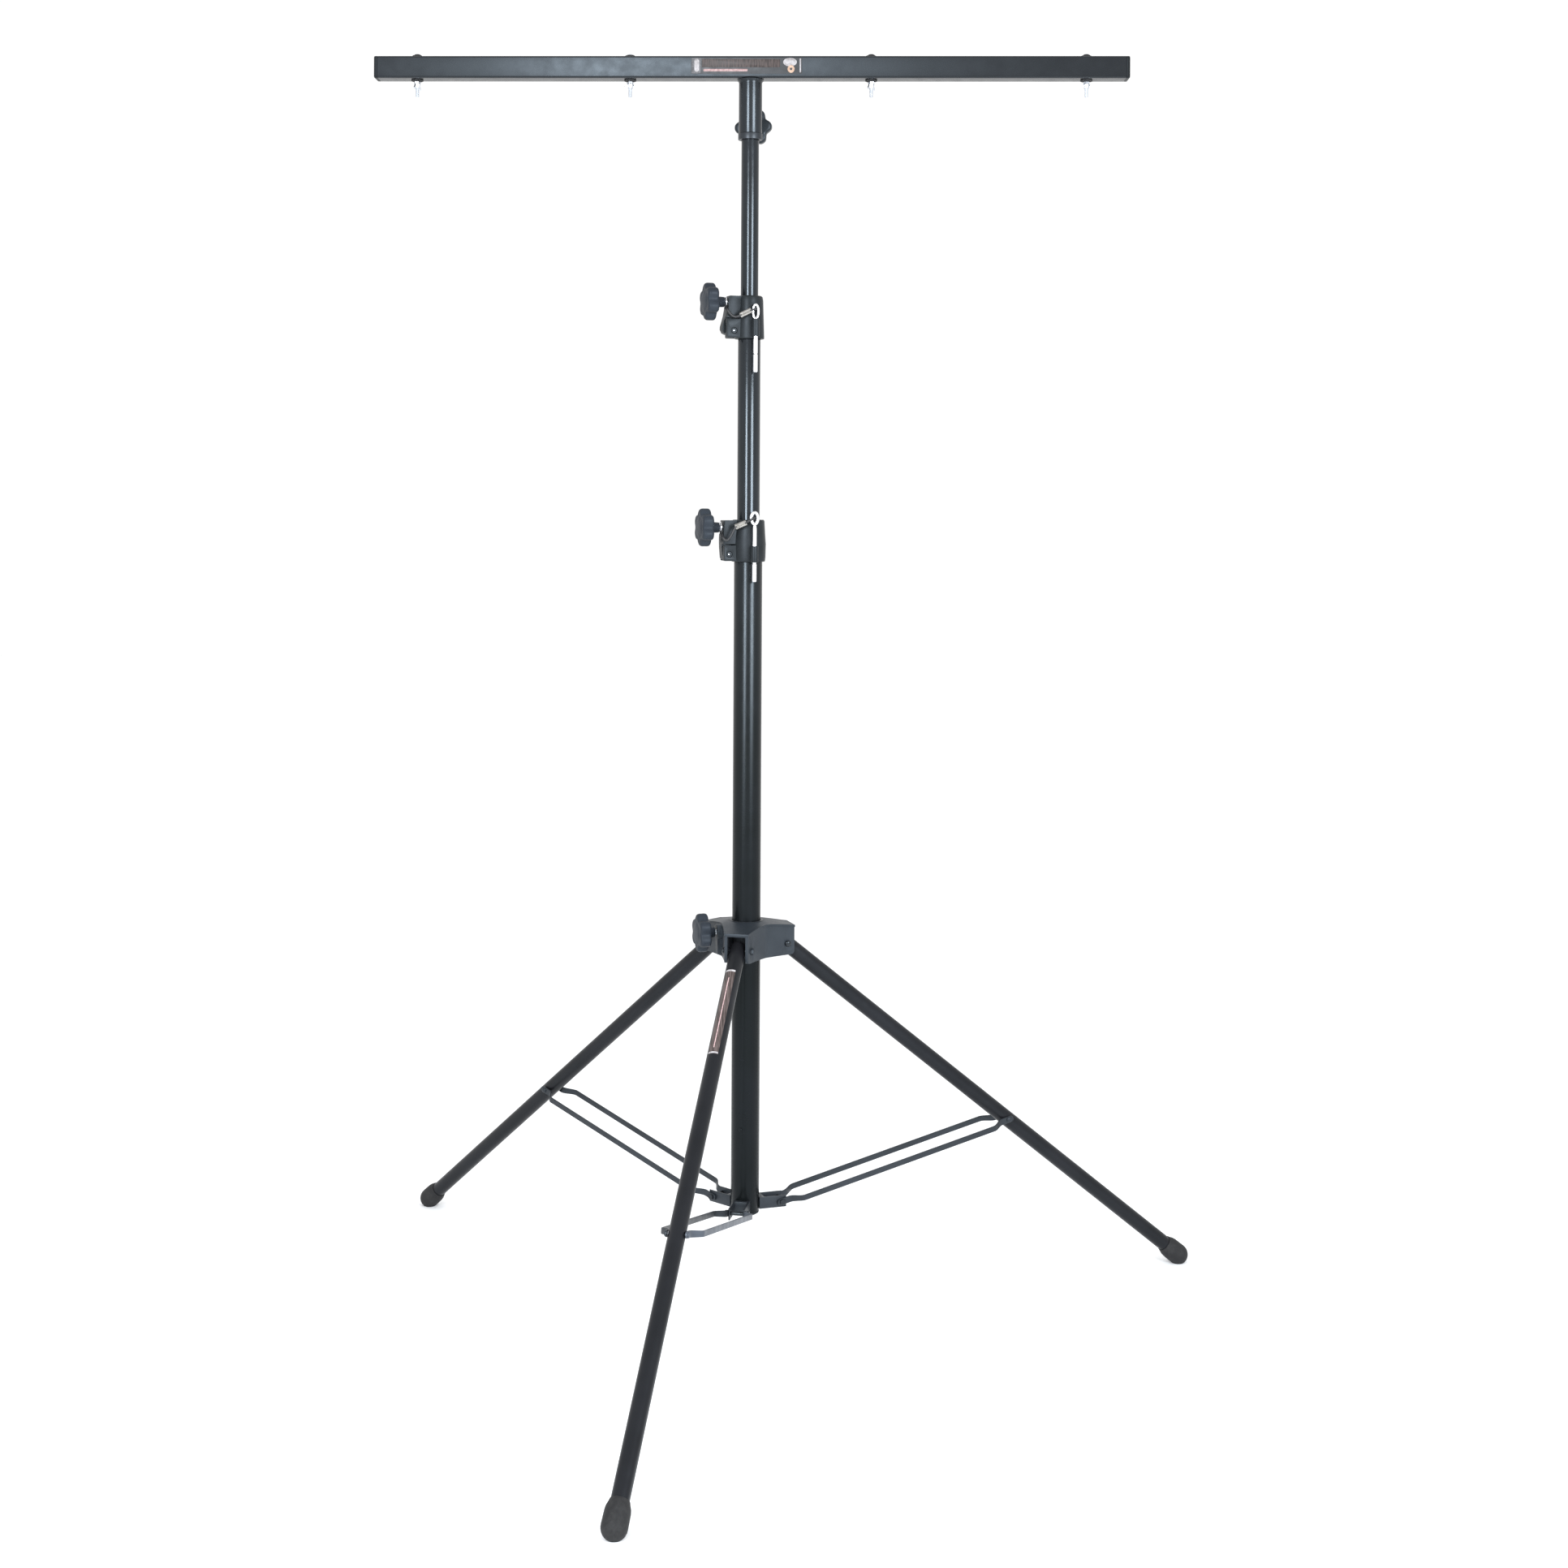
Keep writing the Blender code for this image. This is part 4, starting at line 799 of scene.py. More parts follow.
def t_bar():
    half = BAR_H / 2
    zt, zb = BAR_ZC + half, BAR_ZC - half
    put = lambda u, v, w: Vector((w, u, BAR_ZC + v))
    outer = rounded_square(half, BAR_CORNER)
    inner = rounded_square(half - BAR_WALL, BAR_CORNER - BAR_WALL)
    rings = [[put(u, v, w) for u, v in outer] for w in
             (-BAR_HALF, -0.36, -0.15, 0.0, 0.15, 0.36, BAR_HALF)]
    rings += [[put(u, v, w) for u, v in inner] for w in (BAR_HALF, -BAR_HALF)]
    ob = raw(loft(rings, True), "cross_bar")
    for x in BAR_BOLTS:
        boolean(ob, rod(0.0033, (x, 0, zb - 0.01), (x, 0, zt + 0.01), 32), "DIFFERENCE")
    tidy(ob)
    piece(ob, M_BAR, "t_bar", "tbar", smooth=40.0)
    for name, sgn in (("left", -1), ("right", 1)):
        small = rounded_square(half - BAR_WALL - 0.0002, BAR_CORNER - BAR_WALL)
        e = [rounded_square(half - o, BAR_CORNER - o * 0.6) for o in (0.0, 0.0003, 0.0010, 0.0022)]
        st = [(BAR_HALF - 0.016, small), (BAR_HALF + GAP, small), (BAR_HALF + GAP, e[1]),
              (BAR_HALF + GAP + 0.0004, e[0]), (BAR_HALF + CAP_T - 0.0020, e[0]),
              (BAR_HALF + CAP_T - 0.0009, e[1]), (BAR_HALF + CAP_T - 0.0003, e[2]),
              (BAR_HALF + CAP_T, e[3])]
        rings = [[put(u, v, sgn * w) for u, v in pts] for w, pts in st]
        piece((loft(rings), "bar_end_cap_" + name), M_DARK, "t_bar", "tbar_cap_" + name)
    for i, x in enumerate(BAR_BOLTS):
        node = "lamp_bolt_%d" % (i + 1)
        at = Matrix.Translation((x, 0, 0))
        # threaded shank
        prof = [(0, zb - 0.0280), (0.0021, zb - 0.0280), (0.0029, zb - 0.0272)]
        z = zb - 0.0268
        while z < zb - 0.0066:
            prof += [(0.00265, z), (0.0030, z + 0.0005)]
            z += 0.0010
        prof += [(0.0030, zb - 0.0052), (0.0030, zt + 0.0030), (0, zt + 0.0030)]
        piece((moved(lathe(prof, 32), at), node + "_shank"), M_ZINC, "t_bar", node)
        # thin lock nut
        hexa = [Vector((0.0055 * math.cos(math.radians(60 * k + 8 * i)),
                        0.0055 * math.sin(math.radians(60 * k + 8 * i)), 0))
                for k in range(6)]
        rings = [[p * s + Vector((0, 0, zb - z)) for p in hexa] for z, s in
                 ((0.0062, 0.62), (0.0062, 0.93), (0.0058, 1.0), (0.0036, 1.0),
                  (0.0032, 0.93), (0.0032, 0.62))]
        piece((moved(loft(rings), at), node + "_lock_nut"), M_ZINC, "t_bar")
        # toothed black washer below, rubber dome above
        cnt = 120
        teeth = lambda r, k: r - 0.0009 * (0.5 + 0.5 * math.cos(2 * math.pi * k * 12 / cnt))
        rings = []
        for r, zz, soft in ((0.0036, zb - 0.0028, 0), (0.0082, zb - 0.0028, 0),
                            (0.0096, zb - 0.0024, 1), (0.0098, zb - 0.0018, 1),
                            (0.0098, zb - 0.0010, 1), (0.0092, zb - GAP, 0),
                            (0.0036, zb - GAP, 0)):
            rings.append([Vector(((teeth(r, k) if soft else r) * math.cos(2 * math.pi * k / cnt),
                                  (teeth(r, k) if soft else r) * math.sin(2 * math.pi * k / cnt),
                                  zz)) for k in range(cnt)])
        piece((moved(loft(rings, True), at), node + "_washer_below"), M_RUBBER, "t_bar")
        rings = []
        lobe = lambda r, k, d: r - d * (0.5 + 0.5 * math.cos(2 * math.pi * k * 6 / cnt + i))
        for r, zz, d in ((0.0032, zt + GAP, 0), (0.0086, zt + GAP, 0), (0.0090, zt + 0.0008, 0),
                         (0.0089, zt + 0.0018, 0.0010), (0.0082, zt + 0.0030, 0.0018),
                         (0.0072, zt + 0.0036, 0.0016), (0.0050, zt + 0.0036, 0),
                         (0.0032, zt + 0.0034, 0)):
            rings.append([Vector((lobe(r, k, d) * math.cos(2 * math.pi * k / cnt),
                                  lobe(r, k, d) * math.sin(2 * math.pi * k / cnt), zz))
                          for k in range(cnt)])
        piece((moved(loft(rings, True), at), node + "_washer_above"), M_RUBBER, "t_bar")
        head = lathe([(0, zt + 0.0031), (0.0052, zt + 0.0037), (0.0054, zt + 0.0041),
                      (0.0049, zt + 0.0048), (0.0036, zt + 0.0054),
                      (0.0018, zt + 0.0057), (0, zt + 0.0058)], 48)
        piece((moved(head, at), node + "_head"), M_ZINC if i == 1 else M_BLACK, "t_bar")
        # wing nut
        nut = raw(lathe(fillet([(0.0032, -0.0070), (0.0041, -0.0070), (0.0046, -0.0040),
                                (0.0052, -0.0006), (0.0050, 0.0), (0.0032, 0.0)],
                               0.0004, 3, True), 48, True), "wing_nut_%d_cast" % (i + 1))
        for sg in (-1, 1):
            wing = fillet([(0.0038, -0.0006), (0.0056, -0.0006), (0.0080, -0.0034),
                           (0.0102, -0.0066), (0.0106, -0.0086), (0.0094, -0.0096),
                           (0.0078, -0.0086), (0.0058, -0.0060), (0.0038, -0.0056)],
                          0.0014, 4, True)
            stations = ((-0.0010, 0.88), (-0.0007, 1.0), (0.0007, 1.0), (0.0010, 0.88))
            cu, cv = 0.0070, -0.0048
            rings = [[Vector((sg * (cu + (u - cu) * k), w, cv + (v - cv) * k))
                      for u, v in wing] for w, k in stations]
            boolean(nut, loft(rings), "UNION")
        tidy(nut)
        nut.data.transform(Matrix.Translation((x, 0, zb - 0.0066)) @ radial(WING_YAW[i]))
        piece(nut, M_ZINC, "wing_%d" % (i + 1), "wing_nut_%d" % (i + 1), smooth=35.0)


def socket():
    zb = BAR_ZC - BAR_H / 2
    rot = radial(SOCKET_KNOB_AZ)
    prof = [(0.0165, 1.8745), (0.0185, 1.8745), (0.0185, zb - 0.0062),
            (0.0190, zb - 0.0040), (0.0204, zb - 0.0016), (0.0215, zb - GAP),
            (0.0165, zb - GAP)]
    ob = raw(lathe(fillet(prof, 0.0004, 2, True), 96, True), "socket_sleeve")
    boss = lathe(fillet([(0, 0.0160), (0.0077, 0.0160), (0.0077, 0.0265), (0, 0.0265)],
                        0.0006, 3), 48)
    at = rot @ Matrix.Translation((0, 0, SOCKET_KNOB_Z)) @ along((0, 0, 0), (1, 0, 0))
    boolean(ob, moved(boss, at), "UNION")
    boolean(ob, lathe([(0, 1.85), (0.0165, 1.85), (0.0165, zb + 0.001), (0, zb + 0.001)], 96),
            "DIFFERENCE")
    boolean(ob, moved(rod(0.0043, (0.010, 0, 0), (0.040, 0, 0), 40),
                      rot @ Matrix.Translation((0, 0, SOCKET_KNOB_Z))), "DIFFERENCE")
    tidy(ob)
    piece(ob, M_BLACK, "t_bar", "tbar_socket", smooth=30.0)
    # weld bead where the sleeve meets the bar
    n, k = 160, 10
    bead = []
    for i in range(n):
        a = 2 * math.pi * i / n
        r = 0.00095 + 0.00018 * math.sin(a * 26) + 0.00010 * math.sin(a * 41 + 1.0)
        c = Vector((0.0196 * math.cos(a), 0.0196 * math.sin(a), zb - 0.0020))
        e = Vector((math.cos(a), math.sin(a), 0))
        bead.append([c + e * (r * math.cos(2 * math.pi * j / k))
                     + Vector((0, 0, r * math.sin(2 * math.pi * j / k))) for j in range(k)])
    piece((loft(bead, True), "socket_weld_bead"), M_BLACK, "t_bar",
          smooth=60.0)
    ins = raw(lathe(fillet([(0.0143, 1.8643), (0.0194, 1.8643), (0.0194, 1.8742),
                            (0.0164, 1.8742), (0.0164, 1.9480), (0.0143, 1.9480)],
                           0.0010, 3, True), 96, True), "socket_liner")
    boolean(ins, moved(rod(0.0043, (0.010, 0, 0), (0.018, 0, 0), 40),
                       rot @ Matrix.Translation((0, 0, SOCKET_KNOB_Z))), "DIFFERENCE")
    tidy(ins)
    piece(ins, M_NYLON, "t_bar", "socket_insert", smooth=32.0)


# ------------------------------------------------------------ hub
def hub_outline(inset, steps=24):
    pts = []
    azs = sorted(a % 360.0 for a in LEG_AZ.values())
    for i, az in enumerate(azs):
        r, nxt, mid = radial(az), radial(azs[(i + 1) % 3]), radial(az + 60.0)
        tip, hw = HUB_TIP - inset, HUB_HW - inset
        for k in range(4):
            pts.append(r @ Vector((tip, -hw + 2 * hw * k / 4, 0)))
        a = r @ Vector((tip, hw, 0))
        b = nxt @ Vector((tip, -hw, 0))
        crease = mid @ Vector((0.0420 - inset, 0, 0))
        dip = mid @ Vector((0.0020, 0, 0))
        for p, q in ((a, crease), (crease, b)):
            ctrl = (p + q) / 2 - dip
            for k in range(steps // 2):
                t = k / (steps // 2)
                pts.append(p * (1 - t) ** 2 + ctrl * (2 * t * (1 - t)) + q * t * t)
    return pts


def hub_top(r):
    u = min(max((r - 0.0270) / (HUB_TIP - 0.0270), 0.0), 1.0)
    return HUB_Z1 - (HUB_Z1 - HUB_EDGE) * u ** 0.85


def hub():
    lo_, hi_ = hub_outline(0.0008), hub_outline(0.0)
    zl = HUB_EDGE - PLATE_T

    def lift(pts, drop, k=1.0, rim=0.0):
        out = []
        for p in pts:
            q = p * k
            q = q - q.normalized() * rim
            out.append(Vector((q.x, q.y, hub_top(q.length) - drop)))
        return out

    rings = [[Vector((p.x, p.y, HUB_Z0)) for p in lo_], lift(lo_, 0.0040),
             lift(hi_, 0.0036, 1.0, 0.0002), lift(hi_, 0.0033), lift(hi_, 0.0010),
             lift(hi_, 0.0003, 1.0, 0.0003), lift(hi_, 0.0, 1.0, 0.0010),
             lift(hi_, 0.0005, 1.0, 0.0026), lift(hi_, 0.0006, 1.0, 0.0040)]
    rings += [lift(hi_, 0.0006, k, 0.0040) for k in (0.90, 0.80, 0.70, 0.62, 0.54, 0.47,
                                                    0.41, 0.34)]
    ob = raw(loft(rings), "leg_hub")
    for az in LEG_AZ.values():
        slot_ = box(0.0300, 0.1000, -SLOT_HW, SLOT_HW, HUB_Z0 - 0.01, zl)
        boolean(ob, moved(slot_, radial(az)), "DIFFERENCE")
    rot = radial(KNOB_AZ)
    boss = moved(lathe(fillet([(0, 0.0), (0.0120, 0.0), (0.0120, 0.0270), (0, 0.0270)],
                              0.0015, 4), 56),
                 rot @ along((0.0235, 0, HUB_KNOB_Z), (1, 0, 0)))
    boolean(ob, boss, "UNION")
    lug = moved(box(0.0235, 0.0495, -0.0062, 0.0062, HUB_Z0 + 0.0040,
                    HUB_KNOB_Z - 0.002), rot)
    boolean(ob, lug, "UNION")
    boolean(ob, lathe([(0, 0.5), (MAIN_R + 0.0002, 0.5), (MAIN_R + 0.0002, 0.6225),
                       (MAIN_R + 0.0019, 0.6240), (MAIN_R + 0.0019, 0.7),
                       (0, 0.7)], 96), "DIFFERENCE")
    boolean(ob, moved(rod(0.0043, (0.015, 0, HUB_KNOB_Z), (0.060, 0, HUB_KNOB_Z), 40),
                      rot), "DIFFERENCE")
    for az in LEG_AZ.values():
        boolean(ob, moved(rod(0.0042, (PIV_R, -0.030, PIV_Z), (PIV_R, 0.030, PIV_Z), 40),
                          radial(az)), "DIFFERENCE")
        for sg in (-1, 1):
            spot = rod(0.0065, (PIV_R, sg * 0.0222, PIV_Z), (PIV_R, sg * 0.040, PIV_Z), 48)
            boolean(ob, moved(spot, radial(az)), "DIFFERENCE")
    arc = [(HUB_TIP - 0.0008 - 0.0060 + 0.0060 * math.sin(math.radians(7.5 * k)),
            HUB_Z0 + 0.0060 - 0.0060 * math.cos(math.radians(7.5 * k))) for k in range(13)]
    corner = [(arc[0][0], HUB_Z0 - 0.0010)] + arc + [(HUB_TIP + 0.0020, arc[-1][1]),
                                                    (HUB_TIP + 0.0020, HUB_Z0 - 0.0010)]
    for az in LEG_AZ.values():
        boolean(ob, moved(sector(corner, -0.0300, 0.0300), radial(az)), "DIFFERENCE")
    bake(ob, 0.0004, 2, 40.0)
    piece(ob, M_HUB, "hub", "hub_body", smooth=30.0)
    for leg, az in LEG_AZ.items():
        at = radial(az) @ along((PIV_R, -0.0260, PIV_Z), (0, 1, 0))
        shank = lathe(fillet([(0, 0.0030), (0.0040, 0.0030), (0.0040, 0.0490),
                              (0, 0.0490)], 0.0003, 2), 40)
        piece((moved(shank, at), "hub_pivot_shank_" + leg), M_BLACK, "hub",
              "leg_%s_pivot" % leg)
        head = lathe([(0, 0.0), (0.0020, 0.0001), (0.0036, 0.0006), (0.0046, 0.0014),
                      (0.0050, 0.0024), (0.0050, 0.0035), (0, 0.0035)], 40)
        piece((moved(head, at), "hub_pivot_head_" + leg), M_BLACK, "hub")
        hexa = [Vector((0.0050 * math.cos(math.radians(60 * k + 20)),
                        0.0050 * math.sin(math.radians(60 * k + 20)), 0))
                for k in range(6)]
        rings = [[p * s + Vector((0, 0, z)) for p in hexa]
                 for z, s in ((0.0485, 1.0), (0.0514, 1.0), (0.0520, 0.88))]
        piece((moved(loft(rings), at), "hub_pivot_nut_" + leg), M_HUB, "hub")


# ------------------------------------------------------------ legs
def leg_frame(az):
    drop = Vector((FOOT_R - PIV_R, 0, FOOT_Z - PIV_Z))
    z = drop.normalized()
    y = Vector((0, 1, 0))
    x = y.cross(z)
    m = Matrix(((x.x, y.x, z.x, PIV_R), (x.y, y.y, z.y, 0.0),
                (x.z, y.z, z.z, PIV_Z), (0, 0, 0, 1)))
    return radial(az) @ m, drop.length


def legs():
    for leg, az in LEG_AZ.items():
        m, length = leg_frame(az)
        end = length - 0.0063
        prof = [(0, -0.0125), (0.0060, -0.0124), (0.0090, -0.0115), (0.0112, -0.0100),
                (0.0122, -0.0085), (LEG_R, -0.0065), (LEG_R, end), (LEG_RI, end),
                (LEG_RI, -0.0090), (0, -0.0090)]
        ob = raw(lathe(prof, 64), "leg_%s_pipe" % leg)
        boolean(ob, rod(0.0042, (0, -0.020, 0), (0, 0.020, 0), 32), "DIFFERENCE")
        boolean(ob, rod(0.0032, (0, -0.020, RIVET_A), (0, 0.020, RIVET_A), 32),
                "DIFFERENCE")
        tidy(ob)
        ob.data.transform(m)
        piece(ob, M_LEG, "leg_" + leg, "leg_%s_tube" % leg)
        piece((moved(rod(0.0030, (0, -0.0129, RIVET_A), (0, 0.0129, RIVET_A), 32), m),
               "leg_%s_rivet_shank" % leg), M_ZINC, "leg_" + leg, "leg_%s_rivet" % leg)
        prof = [(0, length + 0.0175)]
        for k in range(1, 13):
            a = math.radians(90 - 7.5 * k)
            prof.append((0.0175 * math.cos(a), length + 0.0175 * math.sin(a)))
        body = [(0.0175, length - 0.0010), (0.0172, length - 0.0190),
                (0.0166, length - 0.0235), (0.0140, length - 0.0310),
                (0.0136, length - 0.0330), (LEG_R + 0.0001, length - 0.0330),
                (LEG_R + 0.0001, length - 0.0060), (0, length - 0.0060)]
        foot = raw(moved(lathe(prof + fillet(body, 0.0016, 3)[1:], 72), m),
                   "leg_%s_rubber" % leg)
        boolean(foot, box(-1.5, 1.5, -1.5, 1.5, -0.2, 0.0), "DIFFERENCE")
        tidy(foot)
        piece(foot, M_RUBBER, "leg_" + leg, "leg_%s_foot" % leg, smooth=40.0)


def braces():
    for leg, az in LEG_AZ.items():
        m, length = leg_frame(az)
        inner = radial(az) @ Vector((CLEV_R, 0, CLEV_Z))
        outer = m @ Vector((0, 0, RIVET_A))
        run = outer - inner
        b = run.length
        x = run.normalized()
        y = radial(az) @ Vector((0, 1, 0))
        z = x.cross(y)
        fr = Matrix(((x.x, y.x, z.x, inner.x), (x.y, y.y, z.y, inner.y),
                     (x.z, y.z, z.z, inner.z), (0, 0, 0, 1)))
        near, far = 0.0147, 0.0300
        for side, sg in (("a", 1), ("b", -1)):
            st = []
            for k in range(7):
                a = math.pi / 2 * k / 6
                st.append((-0.0080 + 0.0050 * (1 - math.cos(a)), near,
                           0.0005 + 0.0045 * math.sin(a)))
            bend = []
            for k in range(13):
                u = k / 12
                w = u * u * (3 - 2 * u)
                bend.append((0.0125 + 0.0220 * u, near + (far - near) * w, 0.0050 - 0.0007 * w))
            st += bend
            st += [(b - l, t, h) for l, t, h in reversed(bend)]
            st += [(b - l, t, h) for l, t, h in
                   reversed([(-0.0080 + 0.0050 * (1 - math.cos(math.pi / 2 * k / 6)), near,
                              0.0005 + 0.0045 * math.sin(math.pi / 2 * k / 6))
                             for k in range(7)])]
            rings = []
            c = 0.0006
            for l, t, h in st:
                cc = min(c, h * 0.4)
                sec = [(-0.0015 + c, -h), (0.0015 - c, -h), (0.0015, -h + cc),
                       (0.0015, h - cc), (0.0015 - c, h), (-0.0015 + c, h),
                       (-0.0015, h - cc), (-0.0015, -h + cc)]
                rings.append([Vector((l, sg * t + p, q)) for p, q in sec])
            ob = raw(loft(rings), "brace_%s_%s_bar" % (leg, side))
            boolean(ob, rod(0.0032, (0, sg * 0.010, 0), (0, sg * 0.020, 0), 32),
                    "DIFFERENCE")
            head = lathe([(0, 0), (0.0046, 0), (0.0046, 0.0012), (0.0043, 0.0018),
                          (0.0036, 0.0024), (0.0022, 0.0029), (0, 0.0031)], 40)
            moved(head, along((b, sg * 0.0157, 0), (0, sg, 0)))
            boolean(ob, head, "UNION")
            tidy(ob)
            ob.data.transform(fr)
            # the front leg's right-hand bar takes the lighter coat: painted light where its face
            # turns to the lamps
            piece(ob, M_BRACE_PAINTED_LIT if (leg, side) == ("front", "a") else M_BRACE, "brace_" + leg,
                  "brace_%s_%s" % (leg, side), smooth=35.0)


def clevises():
    for leg, az in LEG_AZ.items():
        rot = radial(az)
        c = 0.0016
        pts = [(0.0205, -0.0129), (0.0655 - c, -0.0129), (0.0655, -0.0129 + 0.5 * c),
               (0.0655, -0.0104), (0.0290 + c, -0.0104), (0.0290, -0.0104 + c),
               (0.0290, 0.0104 - c), (0.0290 + c, 0.0104), (0.0655, 0.0104),
               (0.0655, 0.0129 - 0.5 * c), (0.0655 - c, 0.0129), (0.0205, 0.0129)]
        ob = raw(moved(prism(pts, CLEV_Z - 0.0090, CLEV_Z + 0.0090,
                             lambda u, v, w: Vector((u, v, w))), rot),
                 "clevis_%s_channel" % leg)
        boolean(ob, lathe([(0, 0.10), (MAIN_R + 0.0002, 0.10), (MAIN_R + 0.0002, 0.25),
                           (0, 0.25)], 96), "DIFFERENCE")
        boolean(ob, moved(rod(0.0032, (CLEV_R, -0.020, CLEV_Z), (CLEV_R, 0.020, CLEV_Z), 32),
                          rot), "DIFFERENCE")
        bake(ob, 0.0004, 2, 40.0)
        piece(ob, M_BRACE, "mast", "clevis_" + leg, smooth=32.0)
        at = rot @ along((CLEV_R, -0.0192, CLEV_Z), (0, 1, 0))
        piece((moved(lathe(fillet([(0, 0.0020), (0.0030, 0.0020), (0.0030, 0.0365),
                                   (0, 0.0365)], 0.0003, 2), 32), at),
               "clevis_%s_shank" % leg), M_BLACK, "mast", "clevis_bolt_" + leg)
        for nm, z0, z1, flip in (("head", 0.0, 0.0027, 1), ("nut", 0.0357, 0.0384, 0)):
            hexa = [Vector((0.0050 * math.cos(math.radians(60 * k + 30)),
                            0.0050 * math.sin(math.radians(60 * k + 30)), 0))
                    for k in range(6)]
            zs = (z0, z0 + 0.0005, z1) if flip else (z1, z1 - 0.0005, z0)
            rings = [[p * s + Vector((0, 0, z)) for p in hexa]
                     for z, s in zip(zs, (0.90, 1.0, 1.0))]
            piece((moved(loft(rings), at), "clevis_%s_%s" % (leg, nm)), M_BLACK, "mast")


def sticker(name, color, rough, x0, x1, z0, z1, corner, thick, round_=False):
    """Thin printed plate on the front of the cross bar."""
    y = -BAR_H / 2
    pts = []
    cx, cz = (x0 + x1) / 2, (z0 + z1) / 2
    if round_:
        pts = [(cx + (x1 - x0) / 2 * math.cos(2 * math.pi * k / 48),
                cz + (z1 - z0) / 2 * math.sin(2 * math.pi * k / 48)) for k in range(48)]
    else:
        for q, (ex, ez) in enumerate(((x1, z1), (x0, z1), (x0, z0), (x1, z0))):
            ox = ex - corner if ex == x1 else ex + corner
            oz = ez - corner if ez == z1 else ez + corner
            for k in range(5):
                a = math.pi / 2 * (q + k / 4)
                pts.append((ox + corner * math.cos(a), oz + corner * math.sin(a)))
    rings = [[Vector((u, y - t, v)) for u, v in pts] for t in (-0.0002, thick * 0.7)]
    rings.append([Vector((cx + (u - cx) * 0.997, y - thick, cz + (v - cz) * 0.985))
                  for u, v in pts])
    return piece((loft(rings), name), color, "t_bar")


def foil(name, c1, c2, rough, metal, scale, stretch):
    mat, nt, bsdf = new_mat(name)
    n = noise(nt, scale, 3.0, stretch)
    nt.links.new(mix_rgb(nt, ramp(nt, n.outputs["Fac"], 0, 1, 0.4, 0.6), c1, c2),
                 bsdf.inputs["Base Color"])
    nt.links.new(ramp(nt, n.outputs["Fac"], rough, rough + 0.12, 0.3, 0.7),
                 bsdf.inputs["Roughness"])
    bsdf.inputs["Metallic"].default_value = metal
    fine = noise(nt, 1800.0, 2.0)
    bump(nt, bsdf, fine.outputs["Fac"], 0.05, 0.00005)
    return mat


def labels():
    brown = foil("label_copper", (0.030, 0.020, 0.018), (0.098, 0.072, 0.068), 0.34, 0.0,
                 1.0, (520.0, 1.0, 60.0))
    pale = foil("label_pale", (0.36, 0.34, 0.35), (0.52, 0.50, 0.51), 0.35, 0.2, 240.0,
                (1, 1, 1))
    rose = foil("label_rose", (0.42, 0.27, 0.27), (0.60, 0.42, 0.42), 0.40, 0.0, 260.0,
                (1, 1, 1))
    amber = foil("label_amber", (0.55, 0.34, 0.22), (0.72, 0.52, 0.40), 0.35, 0.0, 260.0,
                 (1, 1, 1))
    base = foil("label_base", (0.016, 0.018, 0.022), (0.024, 0.026, 0.031), 0.30, 0.0, 90.0,
                (1, 1, 1))
    grey = foil("label_grey", (0.12, 0.12, 0.13), (0.20, 0.20, 0.215), 0.35, 0.0, 320.0,
                (1, 1, 1))
    sticker("bar_label_sheet", base, 0.3, -0.0940, 0.0820, 1.9668, 1.9925, 0.0008, 0.00010)
    sticker("bar_label_block", grey, 0.3, -0.0928, -0.0790, 1.9675, 1.9917, 0.0010, 0.00016)
    sticker("bar_label_mark", pale, 0.3, -0.0888, -0.0815, 1.9700, 1.9905, 0.0034, 0.00022)
    sticker("bar_label_band", brown, 0.3, -0.0770, 0.0470, 1.9772, 1.9901, 0.0006, 0.00018)
    sticker("bar_label_line", rose, 0.3, -0.0745, -0.0045, 1.9706, 1.9746, 0.0010, 0.00018)
    sticker("bar_label_disc", pale, 0.3, 0.0520, 0.0736, 1.9786, 1.9921, 0.0030, 0.00018,
            True)
    sticker("bar_label_dot", amber, 0.3, 0.0590, 0.0700, 1.9684, 1.9806, 0.0030, 0.00022,
            True)
    sticker("bar_label_dot_core", base, 0.3, 0.0625, 0.0665, 1.9724, 1.9766, 0.0010,
            0.00028, True)
    sticker("bar_label_end", pale, 0.3, 0.0780, 0.0803, 1.9690, 1.9912, 0.0008, 0.00018)
    # wrapped strip on the front leg
    m, _ = leg_frame(LEG_AZ["front"])
    for name, mat, d0, d1, half, lift in (
            ("leg_label_sheet", brown, 0.0465, 0.2040, 38.0, 0.00012),
            ("leg_label_end_top", pale, 0.0468, 0.0498, 36.0, 0.00020),
            ("leg_label_end_low", pale, 0.2005, 0.2034, 36.0, 0.00020),
            ("leg_label_rule", rose, 0.0620, 0.1930, 3.0, 0.00020)):
        steps, outer, inner = 24, [], []
        for k in range(steps + 1):
            a = math.radians(188.0 - half + 2 * half * k / steps)
            outer.append(((LEG_R + lift) * math.cos(a), (LEG_R + lift) * math.sin(a)))
            inner.append(((LEG_R - 0.0002) * math.cos(a), (LEG_R - 0.0002) * math.sin(a)))
        loop = outer + list(reversed(inner))
        bm = loft([[Vector((u, v, w)) for u, v in loop]
                   for w in (d0, d0 + (d1 - d0) * 0.5, d1)])
        piece((moved(bm, m), name), mat, "leg_front")


